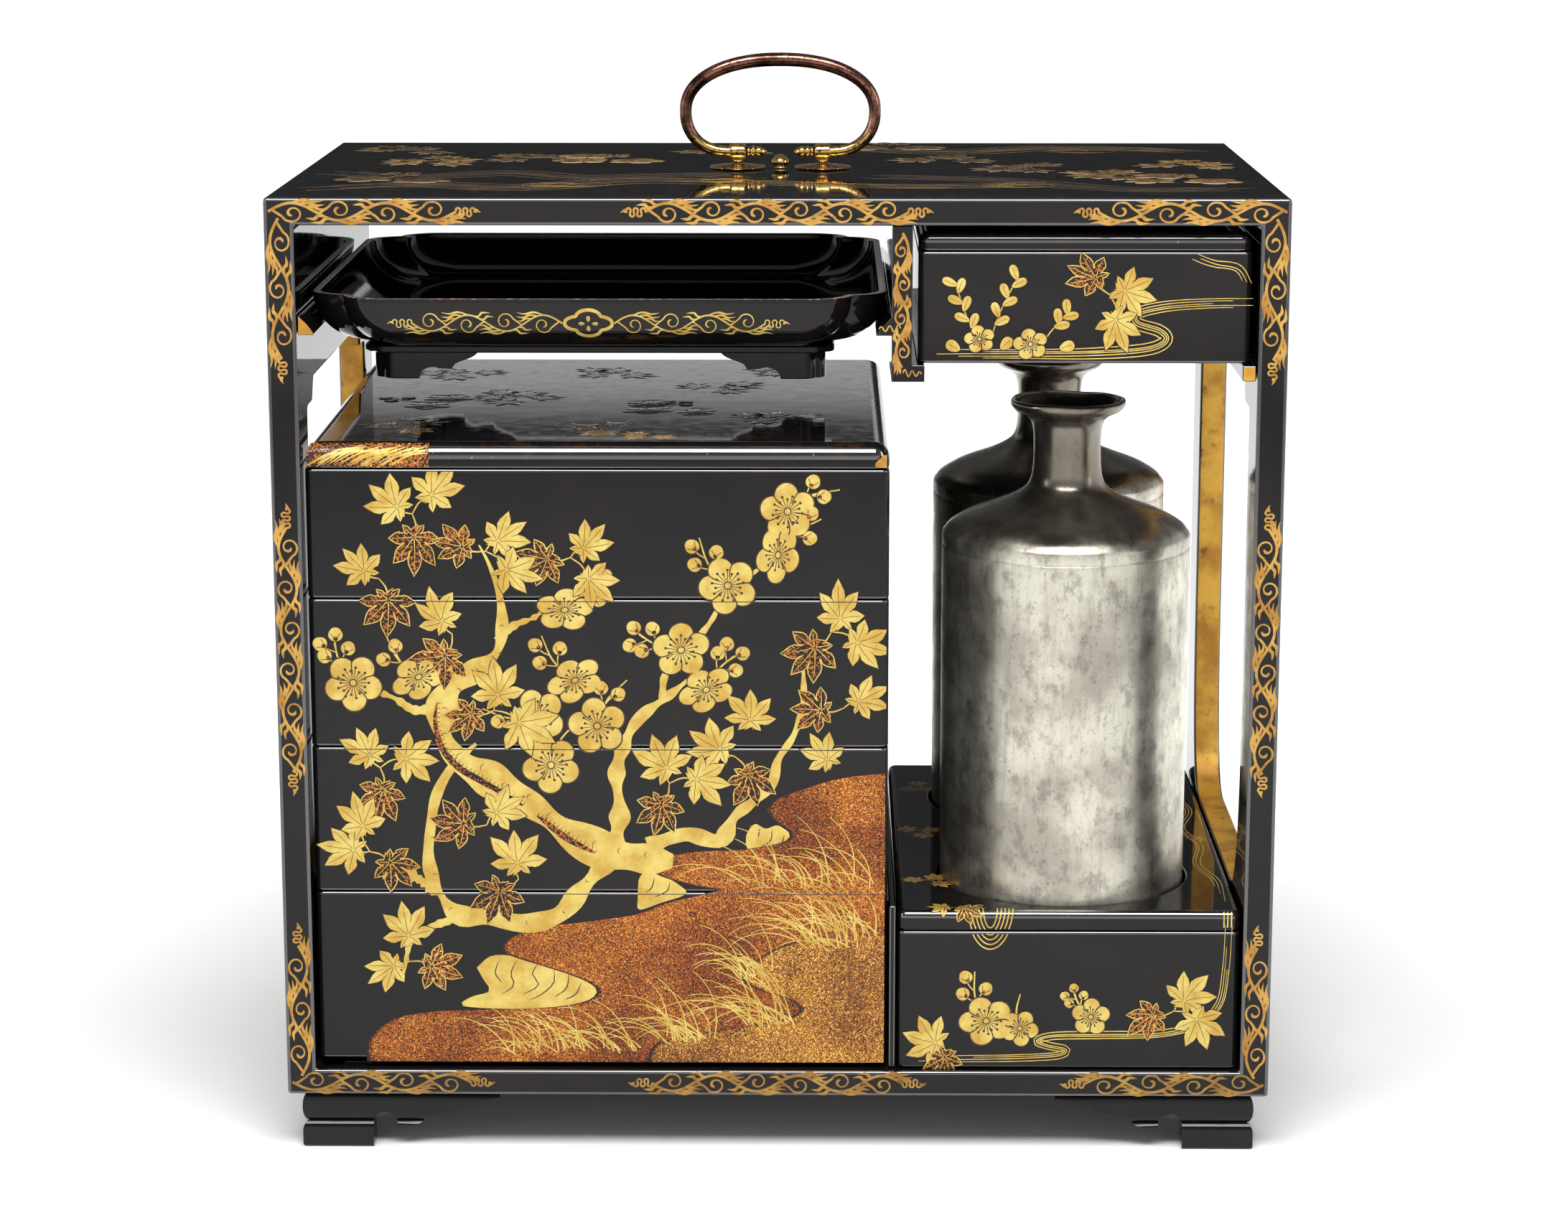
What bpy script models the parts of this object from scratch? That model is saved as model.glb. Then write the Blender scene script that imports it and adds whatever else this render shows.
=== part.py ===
"""Picnic box: a lacquered carrying case with food tiers, a tray, two boxes and two pewter bottles.

The frame: metres, +Z up, X to the right, the open front faces -Y. The origin is on the table, under the
middle of the case. Every size is given in millimetres times MM.
"""

import math

import bpy
from mathutils import Vector

MM = 0.001
GAP = 0.3 * MM            # clearance between pieces that touch

# The case
CASE_WIDTH = 320.0 * MM
CASE_DEPTH = 198.0 * MM
FOOT_HEIGHT = 19.5 * MM
BASE_TOP = 28.0 * MM
TOP_UNDERSIDE = 303.8 * MM
CASE_TOP = 312.5 * MM
SIDE_THICK = 9.4 * MM
EDGE_ROUND = 1.2 * MM
OVERLAP = 1.0 * MM        # how far joined shapes reach into each other
BEYOND = 3.0 * MM         # how far a cutter reaches past what it cuts

# The windows in the sides
WINDOW_HALF = 77.0 * MM
WINDOW_TOP = 250.5 * MM
WINDOW_BOTTOM = 80.5 * MM
WINDOW_CURVE = (26.0 * MM, 74.0 * MM)       # how far a lower corner's curve reaches, in Y and in Z
WINDOW_CURVE_POWER = 2.8
SPANDREL = (17.0 * MM, 7.5 * MM)            # the step in an upper corner, in Y and in Z
SPANDREL_ROUND = 2.0 * MM

# The hanging divider, the rails and the low partition
FRONT_INSET = 1.5 * MM                      # how far the inner woodwork lies behind the case's edge
DIVIDER_X = (35.9 * MM, 42.4 * MM)
DIVIDER_BOTTOM = 254.6 * MM
LEDGE_TOP = 259.9 * MM
LEDGE_REACH = 3.9 * MM                      # under the small box
RAIL_REACH = 4.9 * MM                       # under the tray
RAIL_BOTTOM = 269.2 * MM
RAIL_TOE = 0.5 * MM
RAIL_TOP = 275.2 * MM
BOX_RAIL_X = 146.0 * MM
BOX_RAIL_BOTTOM = 254.9 * MM
PARTITION_X = (36.2 * MM, 38.4 * MM)
PARTITION_TOP = 83.1 * MM
PARTITION_INSET = 3.0 * MM

# The bracket feet
FOOT_INSET = 4.1 * MM
FOOT_THICK = 9.0 * MM
FOOT_LENGTH = 65.0 * MM
FOOT_SIDE_LENGTH = 58.0 * MM
FOOT_ARCH = (23.2 * MM, 30.9 * MM, 12.0 * MM)          # where the arch starts and ends, and its crown
FOOT_PENDANT = (31.2 * MM, 35.8 * MM, 7.4 * MM)        # the flat of the pendant, and its height
FOOT_CUSP = (40.8 * MM, 11.0 * MM)
# The curve from the foot's end down to the cusp: share of its length, height above the table
FOOT_SWEEP = ((1.0, 18.0), (0.98, 17.1), (0.88, 16.3), (0.80, 14.3), (0.75, 12.2), (0.68, 11.0))
FOOT_CUSHION = (9.0 * MM, 18.6 * MM, 1.9 * MM)         # from, to, and how far it bulges
FOOT_SHOULDER = (5.8 * MM, 1.2 * MM)                   # the lower block's upright face, from and down to

# The metal fittings on the top
PIVOT_HEIGHT = 5.6 * MM                     # above the case's top
EYE_X = 14.25 * MM
EYE_RADIUS = 2.8 * MM
EYE_LENGTH = 5.3 * MM
EYE_HOLE = 2.3 * MM
EYE_SIDES = 16
POST_HALF = 1.7 * MM
ROSETTE_RADIUS = 9.9 * MM
ROSETTE_HEIGHT = 1.3 * MM
ROSETTE_PETALS = 6
STUD_RADIUS = 3.0 * MM
STUD_HEIGHT = 4.5 * MM
# The stud's knob as shares of its radius and height, from its foot up
STUD_PROFILE = ((0.60, 0.0), (0.66, 0.14), (0.98, 0.36), (0.98, 0.56), (0.70, 0.86), (0.22, 1.0))
STUD_SIDES = 12
LOOP_HALF = 31.7 * MM                       # the bar's centre line
LOOP_WAIST = 13.5 * MM                      # height of the widest place above the pivot
LOOP_CROWN = 30.7 * MM
LOOP_POWER = 2.2
LOOP_START = 17.4 * MM                      # where the bar leaves the pivot's line
BAR_END, BAR_SIDE, BAR_CROWN = 1.85 * MM, 2.05 * MM, 2.3 * MM

# The stack of tiers
STACK_X = (-149.7 * MM, 35.6 * MM)
STACK_Y = (-96.0 * MM, 95.0 * MM)
TIER_SEAMS = (31.1 * MM, 87.8 * MM, 136.0 * MM, 184.6 * MM, 226.7 * MM)
TIER_WALL = 4.5 * MM
TIER_FLOOR = 4.5 * MM
TIER_CORNER = 3.0 * MM
TIER_FOOT_INSET = 7.0 * MM
SEAT_DEPTH = 1.5 * MM                       # how deep a tier or lid reaches into the one below
SEAT_PLAY = 0.6 * MM
STACK_LID_TOP = 234.6 * MM
STACK_LID_ROUND = 5.0 * MM
LID_PLATE = 3.2 * MM
LID_LIP_WALL = 2.4 * MM
BOX_EDGE = 0.8 * MM
FLOOR_FILLET = 2.0 * MM

# The tray
TRAY_X = (-148.6 * MM, 34.6 * MM)
TRAY_Y = (-96.0 * MM, 94.0 * MM)
TRAY_RIM = 280.4 * MM
TRAY_BOTTOM = 263.8 * MM
TRAY_FLARE = 16.5 * MM
TRAY_WALL = 2.4 * MM
TRAY_FLOOR = 3.2 * MM
TRAY_LOBE = 13.0 * MM                       # radius of the two rounds that make a corner
TRAY_REACH = 24.0 * MM                      # how far from the corner they start
TRAY_FOOT_BOTTOM = 252.4 * MM
TRAY_FOOT_LEDGE = 261.1 * MM
TRAY_FOOT_INSET = 2.8 * MM
TRAY_FOOT_WALL = 4.2 * MM
TRAY_FOOT_CORNER = (4.0 * MM, 7.0 * MM)     # as the tray's lobe and reach
TRAY_FOOT_STEPS = 1
TRAY_LEG = 14.4 * MM
# Two cusped steps from a leg up to the ledge: distance from the leg, height above the foot's underside
TRAY_APRON = (
    (0.0, -2.0), (0.0, 0.45), (0.8, 1.35), (1.9, 2.85), (3.7, 3.75), (5.8, 3.85), (10.2, 3.3), (12.9, 6.4),
    (17.5, 7.65), (19.3, 8.6),
)

# The small box
SMALL_BOX_X = (44.2 * MM, 148.7 * MM)
SMALL_BOX_Y = (-95.0 * MM, 95.0 * MM)
SMALL_BOX_Z = (260.2 * MM, 295.5 * MM)
SMALL_BOX_LID_TOP = 301.6 * MM
SMALL_BOX_WALL = 3.6 * MM
SMALL_BOX_CORNER = 3.0 * MM
SMALL_BOX_LID_ROUND = 3.4 * MM

# The bottle box and the bottles
BOTTLE_BOX_X = (39.0 * MM, 150.1 * MM)
BOTTLE_BOX_Y = (-96.3 * MM, 96.3 * MM)
BOTTLE_BOX_Z = (28.3 * MM, 74.8 * MM)
BOTTLE_BOX_LID_TOP = 81.6 * MM
BOTTLE_BOX_LID_ROUND = 2.2 * MM
BOTTLE_BOX_WALL = 4.5 * MM
BOTTLE_BOX_FLOOR = 3.2 * MM
BOTTLE_HOLE = 41.6 * MM
BOTTLE_SPACING = 99.0 * MM
BOTTLE_WALL = 2.0 * MM
BOTTLE_BASE = 31.8 * MM
# Radius and height, from the base up to the lip
BOTTLE_PROFILE = (
    (38.8, 31.8), (40.2, 33.0), (40.8, 196.5), (37.9, 201.3), (30.2, 205.1), (24.0, 207.4), (18.0, 210.0),
    (13.1, 213.1), (11.4, 217.5), (11.0, 226.0), (11.2, 232.7), (13.1, 236.4), (17.4, 238.2), (18.8, 240.7),
    (18.4, 242.4),
)
BOTTLE_INSIDE = (2, 11)                     # the first and last point whose inner side runs alongside
BOTTLE_INNER_FLOOR = ((38.3, 35.0), (36.5, 33.8))
MOUTH_HOLE = 9.2 * MM

ROUND_STEPS = 24
BAR_SIDES = 8


# Materials


def finish(name, colour, roughness, metallic=0.0):
    """A Principled material of one colour."""
    made = bpy.data.materials.get(name)
    if made:
        return made
    made = bpy.data.materials.new(name)
    made.use_nodes = True
    shader = made.node_tree.nodes["Principled BSDF"]
    shader.inputs["Base Color"].default_value = (*colour, 1.0)
    shader.inputs["Roughness"].default_value = roughness
    shader.inputs["Metallic"].default_value = metallic
    made.diffuse_color = (*colour, 1.0)
    return made


def lacquer():
    return finish("black_lacquer", (0.022, 0.018, 0.016), 0.18)


def gilt():
    return finish("gold_lacquer", (0.56, 0.33, 0.07), 0.38)


def bronze():
    return finish("patinated_brass", (0.36, 0.22, 0.11), 0.35, 1.0)


def pewter():
    return finish("pewter", (0.48, 0.46, 0.42), 0.42, 1.0)


# Shapes


def add_object(name, points, faces, material, parent, origin=(0.0, 0.0, 0.0), smooth=False):
    """A mesh object whose origin is at the given world place. The points are world coordinates."""
    offset = Vector(origin)
    mesh = bpy.data.meshes.new(name)
    mesh.from_pydata([tuple(Vector(point) - offset) for point in points], [], faces)
    mesh.materials.append(material)
    if smooth:
        mesh.shade_smooth()
        mesh.set_sharp_from_angle(angle=math.radians(35.0))
    made = bpy.data.objects.new(name, mesh)
    bpy.context.scene.collection.objects.link(made)
    made.location = offset - parent.location
    made.parent = parent
    return made


def add_empty(name, location):
    made = bpy.data.objects.new(name, None)
    made.location = location
    bpy.context.scene.collection.objects.link(made)
    return made


def loft(rings, closed=False):
    """Faces between rings of equal length, each anticlockwise from above.

    The rings run up the outside, so the faces look outward. An open loft gets a flat cap at each end, and
    a closed one is joined back to its first ring.
    """
    count = len(rings[0])
    points = [point for ring in rings for point in ring]
    faces = []
    spans = len(rings) if closed else len(rings) - 1
    for level in range(spans):
        low = level * count
        high = ((level + 1) % len(rings)) * count
        for step in range(count):
            after = (step + 1) % count
            faces.append((low + step, low + after, high + after, high + step))
    if not closed:
        faces.append(tuple(reversed(range(count))))
        faces.append(tuple(range(len(points) - count, len(points))))
    return points, faces


def rounded_rectangle(x_range, y_range, corner, height, steps=3):
    """One ring: a rectangle whose corners are arcs of `steps` chords."""
    ring = []
    centres = (
        (x_range[1] - corner, y_range[0] + corner, -90.0),
        (x_range[1] - corner, y_range[1] - corner, 0.0),
        (x_range[0] + corner, y_range[1] - corner, 90.0),
        (x_range[0] + corner, y_range[0] + corner, 180.0),
    )
    for centre_x, centre_y, start in centres:
        for step in range(steps + 1):
            angle = math.radians(start + 90.0 * step / steps)
            ring.append((centre_x + corner * math.cos(angle), centre_y + corner * math.sin(angle), height))
    return ring


def shrink(span, inset):
    return span[0] + inset, span[1] - inset


def box_rings(x_range, y_range, corner, profile):
    """Rounded rectangles, one for each (inset, height) of the profile."""
    least = 0.4 * MM
    return [
        rounded_rectangle(shrink(x_range, inset), shrink(y_range, inset), max(corner - inset, least), height)
        for inset, height in profile
    ]


def circle(centre_x, centre_y, radius, height, steps=ROUND_STEPS):
    turn = 2.0 * math.pi / steps
    return [
        (centre_x + radius * math.cos(turn * step), centre_y + radius * math.sin(turn * step), height)
        for step in range(steps)
    ]


def mokko(x_range, y_range, lobe, reach, height, steps=3):
    """One ring: a rectangle whose every corner is two convex rounds that meet in a cusp on its diagonal.

    Each round has the radius `lobe` and leaves its straight side at `reach` from the corner.
    """
    cusp = (reach + lobe - math.sqrt((reach + lobe) ** 2 - 2.0 * reach ** 2)) / 2.0
    end = math.atan2(lobe - cusp, reach - cusp)
    first = []
    for step in range(steps + 1):
        angle = math.radians(90.0) - (math.radians(90.0) - end) * step / steps
        first.append((reach - lobe * math.cos(angle), lobe - lobe * math.sin(angle)))
    second = [(across, along) for along, across in reversed(first[:-1])]
    corner = first + second
    ring = []
    for along, across in reversed(corner):
        ring.append((x_range[0] + along, y_range[0] + across, height))
    for along, across in corner:
        ring.append((x_range[1] - along, y_range[0] + across, height))
    for along, across in reversed(corner):
        ring.append((x_range[1] - along, y_range[1] - across, height))
    for along, across in corner:
        ring.append((x_range[0] + along, y_range[1] - across, height))
    return ring


def prism(outline, axis, low, high):
    """A flat outline run along an axis. The outline is anticlockwise as seen from the axis's positive end."""
    count = len(outline)

    def place(pair, along):
        if axis == "X":
            return along, pair[0], pair[1]
        if axis == "Y":
            return pair[0], along, pair[1]
        return pair[0], pair[1], along

    points = [place(pair, low) for pair in outline] + [place(pair, high) for pair in outline]
    faces = [(step, (step + 1) % count, count + (step + 1) % count, count + step) for step in range(count)]
    faces.append(tuple(reversed(range(count))))
    faces.append(tuple(range(count, 2 * count)))
    if axis == "Y":
        faces = [tuple(reversed(face)) for face in faces]
    return points, faces


def cuboid(x_range, y_range, z_range):
    (left, right), (front, back) = x_range, y_range
    return prism([(left, front), (right, front), (right, back), (left, back)], "Z", *z_range)


def soften(target, width, segments=1):
    """A bevel on the edges that turn by more than thirty degrees."""
    bevel = target.modifiers.new("bevel", "BEVEL")
    bevel.width = width
    bevel.segments = segments
    bevel.limit_method = "ANGLE"
    bevel.angle_limit = math.radians(30.0)
    bevel.use_clamp_overlap = True


def combine(target, name, shape, operation="DIFFERENCE"):
    """Cut a shape out of the target, or join it on, with a hidden helper object."""
    mesh = bpy.data.meshes.new(name)
    mesh.from_pydata(shape[0], [], shape[1])
    helper = bpy.data.objects.new(name, mesh)
    bpy.context.scene.collection.objects.link(helper)
    helper.hide_render = True
    helper.display_type = "WIRE"
    boolean = target.modifiers.new(name, "BOOLEAN")
    boolean.operation = operation
    boolean.solver = "EXACT"
    boolean.object = helper


def board(name, x_range, y_range, z_range, parent, edge=EDGE_ROUND):
    origin = (sum(x_range) / 2.0, sum(y_range) / 2.0, z_range[0])
    made = add_object(name, *cuboid(x_range, y_range, z_range), lacquer(), parent, origin)
    soften(made, edge)
    return made


def strip(name, outline, parent, material):
    """A moulding of one outline in X and Z that runs from the front of the case to its back."""
    half = CASE_DEPTH / 2.0 - FRONT_INSET
    add_object(name, *prism(outline, "Y", -half, half), material, parent)


# The case


def window_outline():
    """The window in Y and Z, anticlockwise as seen from +X, symmetric about the middle."""
    reach_y, reach_z = WINDOW_CURVE
    steps = 8
    lower = []
    for step in range(steps + 1):
        angle = math.radians(90.0) * step / steps
        across = math.cos(angle) ** (2.0 / WINDOW_CURVE_POWER)
        up = math.sin(angle) ** (2.0 / WINDOW_CURVE_POWER)
        lower.append((WINDOW_HALF - reach_y + reach_y * across, WINDOW_BOTTOM + reach_z - reach_z * up))
    step_y, step_z = SPANDREL
    underside = WINDOW_TOP - step_z
    upper = [
        (WINDOW_HALF, underside - SPANDREL_ROUND),
        (WINDOW_HALF - SPANDREL_ROUND, underside),
        (WINDOW_HALF - 0.70 * step_y, underside),
        (WINDOW_HALF - 0.82 * step_y, underside + 0.18 * step_z),
        (WINDOW_HALF - 0.92 * step_y, underside + 0.60 * step_z),
        (WINDOW_HALF - step_y, WINDOW_TOP),
    ]
    right = list(reversed(lower)) + upper
    left = [(-across, height) for across, height in reversed(right)]
    return right + left


def make_case(root):
    half_x, half_y = CASE_WIDTH / 2.0, CASE_DEPTH / 2.0
    inner = half_x - SIDE_THICK
    across, deep = (-half_x, half_x), (-half_y, half_y)
    board("case_top", across, deep, (TOP_UNDERSIDE, CASE_TOP), root)
    board("case_base", across, deep, (FOOT_HEIGHT, BASE_TOP), root)
    upright = (BASE_TOP + GAP, TOP_UNDERSIDE - GAP)
    for name, x_range in (("case_side_left", (-half_x, -inner)), ("case_side_right", (inner, half_x))):
        side = board(name, x_range, deep, upright, root)
        window = prism(window_outline(), "X", x_range[0] - BEYOND, x_range[1] + BEYOND)
        combine(side, name + "_cutter", window)

    left, right = DIVIDER_X
    strip("hanging_divider", [
        (left, DIVIDER_BOTTOM), (right + LEDGE_REACH, DIVIDER_BOTTOM), (right + LEDGE_REACH, LEDGE_TOP),
        (right, LEDGE_TOP), (right, TOP_UNDERSIDE - GAP), (left, TOP_UNDERSIDE - GAP),
        (left, RAIL_TOP), (left - RAIL_REACH, RAIL_BOTTOM + RAIL_TOE), (left - RAIL_REACH, RAIL_BOTTOM),
        (left, RAIL_BOTTOM),
    ], root, lacquer())
    wall = -inner + GAP
    strip("tray_rail", [
        (wall, RAIL_BOTTOM), (wall + RAIL_REACH, RAIL_BOTTOM), (wall + RAIL_REACH, RAIL_BOTTOM + RAIL_TOE),
        (wall, RAIL_TOP),
    ], root, gilt())
    wall = inner - GAP
    strip("box_rail", [
        (BOX_RAIL_X, BOX_RAIL_BOTTOM), (wall, BOX_RAIL_BOTTOM), (wall, LEDGE_TOP), (BOX_RAIL_X, LEDGE_TOP),
    ], root, gilt())
    half = half_y - PARTITION_INSET
    board("low_partition", PARTITION_X, (-half, half), (BASE_TOP + GAP, PARTITION_TOP), root, edge=0.5 * MM)


def arc(centre, radii, start, end, steps):
    """Points on an ellipse, from one angle to another, in degrees."""
    points = []
    for step in range(steps + 1):
        angle = math.radians(start + (end - start) * step / steps)
        points.append((centre[0] + radii[0] * math.cos(angle), centre[1] + radii[1] * math.sin(angle)))
    return points


def foot_apron(length):
    """What is cut away under a foot's apron, as distance from the corner and height above the table."""
    start, end, crown = FOOT_ARCH
    middle, half = (start + end) / 2.0, (end - start) / 2.0
    flat_start, flat_end, pendant = FOOT_PENDANT
    cusp, cusp_height = FOOT_CUSP
    outline = [(start, -BEYOND), (length + BEYOND, -BEYOND), (length + BEYOND, FOOT_HEIGHT + OVERLAP)]
    outline += [(share * length, height * MM) for share, height in FOOT_SWEEP]
    outline += [(cusp, cusp_height)]
    hang = arc((flat_end, cusp_height), (cusp - flat_end, cusp_height - pendant), -90.0, -20.0, 3)
    outline += list(reversed(hang))
    outline += [(flat_start, pendant)]
    outline += arc((middle, crown - half), (half, half), 0.0, 180.0, 6)
    return outline


def foot_profile():
    """How far a foot's outer face lies behind its widest place, for each height from the table up."""
    low, high, bulge = FOOT_CUSHION
    shoulder, toe = FOOT_SHOULDER
    profile = [(toe, 0.0), (0.35 * toe, 0.35 * toe), (0.0, toe), (0.0, shoulder), (0.5 * bulge, 0.86 * low)]
    steps = 6
    for step in range(steps + 1):
        angle = math.radians(-90.0 + 180.0 * step / steps)
        height = (low + high) / 2.0 + (high - low) / 2.0 * math.sin(angle)
        profile.append((bulge * (1.0 - math.cos(angle)), height))
    profile.append((bulge, FOOT_HEIGHT - GAP))
    return profile


def make_foot(name, side, end, root):
    """One bracket foot. Side is -1 on the left, end is -1 at the front."""
    corner_x = side * (CASE_WIDTH / 2.0 - FOOT_INSET)
    corner_y = end * (CASE_DEPTH / 2.0 - FOOT_INSET)

    def place(along_x, along_y, height):
        return corner_x - side * along_x, corner_y - end * along_y, height

    rings = []
    for inset, height in foot_profile():
        plan = (
            (inset, inset), (FOOT_LENGTH, inset), (FOOT_LENGTH, FOOT_THICK), (FOOT_THICK, FOOT_THICK),
            (FOOT_THICK, FOOT_SIDE_LENGTH), (inset, FOOT_SIDE_LENGTH),
        )
        rings.append([place(along_x, along_y, height) for along_x, along_y in plan])
    mirrored = side * end < 0
    if mirrored:
        rings = [list(reversed(ring)) for ring in rings]
    made = add_object(name, *loft(rings), lacquer(), root, (corner_x, corner_y, 0.0))

    front = [(corner_x - side * along, height) for along, height in foot_apron(FOOT_LENGTH)]
    flank = [(corner_y - end * along, height) for along, height in foot_apron(FOOT_SIDE_LENGTH)]
    if side > 0:
        front.reverse()
    if end > 0:
        flank.reverse()
    y_span = sorted((corner_y + end * BEYOND, corner_y - end * (FOOT_THICK + BEYOND)))
    x_span = sorted((corner_x + side * BEYOND, corner_x - side * (FOOT_THICK + BEYOND)))
    combine(made, name + "_front_cutter", prism(front, "Y", *y_span))
    combine(made, name + "_flank_cutter", prism(flank, "X", *x_span))


# The metal fittings


def superellipse(centre, radii, start, end, steps):
    points = []
    for step in range(steps + 1):
        angle = math.radians(start + (end - start) * step / steps)
        cosine, sine = math.cos(angle), math.sin(angle)
        points.append((
            centre[0] + radii[0] * math.copysign(abs(cosine) ** (2.0 / LOOP_POWER), cosine),
            centre[1] + radii[1] * math.copysign(abs(sine) ** (2.0 / LOOP_POWER), sine),
        ))
    return points


def bail_stations():
    """The bail's centre line and radius: across, height above the pivot, radius. Left finial first."""
    finial = (
        (4.6, 0.25), (5.3, 1.05), (6.6, 1.75), (8.0, 1.65), (8.5, 1.15), (8.7, 2.0), (9.6, 2.0), (9.8, 1.2),
        (10.3, 1.55), (11.1, 1.55), (11.6, 1.2),
    )
    left = [(-across * MM, 0.0, radius * MM) for across, radius in finial]
    left.append((-12.0 * MM, 0.0, BAR_END))
    lower = superellipse((-LOOP_START, LOOP_WAIST), (LOOP_HALF - LOOP_START, LOOP_WAIST), 270.0, 180.0, 7)
    for step, (across, up) in enumerate(lower):
        left.append((across, up, BAR_END + (BAR_SIDE - BAR_END) * step / (len(lower) - 1)))
    upper = superellipse((0.0, LOOP_WAIST), (LOOP_HALF, LOOP_CROWN - LOOP_WAIST), 180.0, 90.0, 9)
    for step, (across, up) in enumerate(upper[1:]):
        left.append((across, up, BAR_SIDE + (BAR_CROWN - BAR_SIDE) * (step + 1) / (len(upper) - 1)))
    right = [(-across, up, radius) for across, up, radius in reversed(left[:-1])]
    return left + right


def make_handle(axis_empty):
    stations = bail_stations()
    rings = []
    for index, (across, up, radius) in enumerate(stations):
        before, after = stations[max(index - 1, 0)], stations[min(index + 1, len(stations) - 1)]
        tangent = Vector((after[0] - before[0], 0.0, after[1] - before[1])).normalized()
        normal = Vector((-tangent.z, 0.0, tangent.x))
        sideways = Vector((0.0, 1.0, 0.0))
        middle = axis_empty.location + Vector((across, 0.0, up))
        ring = []
        for step in range(BAR_SIDES):
            angle = 2.0 * math.pi * (step + 0.5) / BAR_SIDES
            ring.append(middle + radius * (math.cos(angle) * sideways - math.sin(angle) * normal))
        rings.append([tuple(point) for point in reversed(ring)])
    add_object("handle", *loft(rings), bronze(), axis_empty, axis_empty.location, smooth=True)


def make_rosette(name, centre_x, root):
    """A low plate with six lobes, thin at its rim and raised round the post."""
    points_per_petal = 6
    steps = ROSETTE_PETALS * points_per_petal
    low = CASE_TOP + GAP
    rings = []
    for share, rise in ((0.97, 0.0), (1.0, 0.3), (0.97, 0.55), (0.62, 0.92), (0.34, 1.0)):
        ring = []
        for step in range(steps):
            angle = 2.0 * math.pi * step / steps
            lobe = 1.0 - 0.09 * share * (1.0 - abs(math.cos(ROSETTE_PETALS * angle / 2.0)))
            radius = ROSETTE_RADIUS * share * lobe
            height = low + rise * ROSETTE_HEIGHT
            ring.append((centre_x + radius * math.sin(angle), -radius * math.cos(angle), height))
        rings.append(ring)
    add_object(name, *loft(rings), bronze(), root, (centre_x, 0.0, low))


def make_post(name, centre_x, root):
    """The eye that the bail turns in: a short barrel along X on a square stem."""
    pivot = CASE_TOP + PIVOT_HEIGHT
    half = EYE_LENGTH / 2.0

    def tube(radius, reach):
        outline = []
        for step in range(EYE_SIDES):
            angle = 2.0 * math.pi * step / EYE_SIDES
            outline.append((radius * math.cos(angle), pivot + radius * math.sin(angle)))
        return prism(outline, "X", centre_x - reach, centre_x + reach)

    made = add_object(name, *tube(EYE_RADIUS, half), bronze(), root, (centre_x, 0.0, pivot))
    foot = CASE_TOP + GAP + ROSETTE_HEIGHT + GAP
    wide = (centre_x - POST_HALF, centre_x + POST_HALF)
    stem = cuboid(wide, (-POST_HALF, POST_HALF), (foot, pivot - OVERLAP))
    combine(made, name + "_stem", stem, "UNION")
    combine(made, name + "_bore", tube(EYE_HOLE, half + BEYOND))


def make_fittings(root, axis_empty):
    for name, side in (("left", -1.0), ("right", 1.0)):
        make_rosette("rosette_" + name, side * EYE_X, root)
        make_post("handle_post_" + name, side * EYE_X, root)
    low = CASE_TOP + GAP
    rings = [
        circle(0.0, 0.0, STUD_RADIUS * wide, low + STUD_HEIGHT * high, STUD_SIDES)
        for wide, high in STUD_PROFILE
    ]
    add_object("centre_stud", *loft(rings), bronze(), root, (0.0, 0.0, low), smooth=True)
    make_handle(axis_empty)


# Boxes and lids


def make_box(name, x_range, y_range, z_range, wall, floor, corner, seat, root):
    """An open box. Seat is (inset, depth) of the step that reaches below its underside."""
    low, high = z_range
    profile = []
    if seat:
        profile += [(seat[0], low - seat[1]), (seat[0], low)]
    profile += [
        (BOX_EDGE, low), (0.0, low + BOX_EDGE), (0.0, high - BOX_EDGE), (BOX_EDGE, high), (wall, high),
        (wall, low + floor + FLOOR_FILLET), (wall + FLOOR_FILLET, low + floor),
    ]
    origin = (sum(x_range) / 2.0, sum(y_range) / 2.0, low)
    add_object(name, *loft(box_rings(x_range, y_range, corner, profile)), lacquer(), root, origin)


def make_lid(name, x_range, y_range, z_range, wall, corner, edge_round, root):
    """A lid that is hollow below, with a lip that fits inside the box."""
    low, high = z_range
    lip = wall + SEAT_PLAY
    hollow = lip + LID_LIP_WALL
    foot = low - SEAT_DEPTH
    profile = [(hollow, high - LID_PLATE), (hollow, foot), (lip, foot), (lip, low), (0.0, low)]
    steps = 4
    for step in range(steps + 1):
        angle = math.radians(90.0) * step / steps
        profile.append((edge_round * (1.0 - math.cos(angle)), high - edge_round * (1.0 - math.sin(angle))))
    origin = (sum(x_range) / 2.0, sum(y_range) / 2.0, low)
    add_object(name, *loft(box_rings(x_range, y_range, corner, profile)), lacquer(), root, origin)


def make_stack(root):
    """Four tiers and their lid. Each reaches a little way into the one below."""
    seat = (TIER_WALL + SEAT_PLAY, SEAT_DEPTH)
    for index in range(len(TIER_SEAMS) - 1):
        low, high = TIER_SEAMS[index], TIER_SEAMS[index + 1] - GAP
        lowest = index == 0
        step = (TIER_FOOT_INSET, low - BASE_TOP - GAP) if lowest else seat
        name = "tier_%d" % (index + 1)
        make_box(name, STACK_X, STACK_Y, (low, high), TIER_WALL, TIER_FLOOR, TIER_CORNER, step, root)
    make_lid(
        "tier_lid", STACK_X, STACK_Y, (TIER_SEAMS[-1], STACK_LID_TOP), TIER_WALL, TIER_CORNER + 2.5 * MM,
        STACK_LID_ROUND, root
    )


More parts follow.
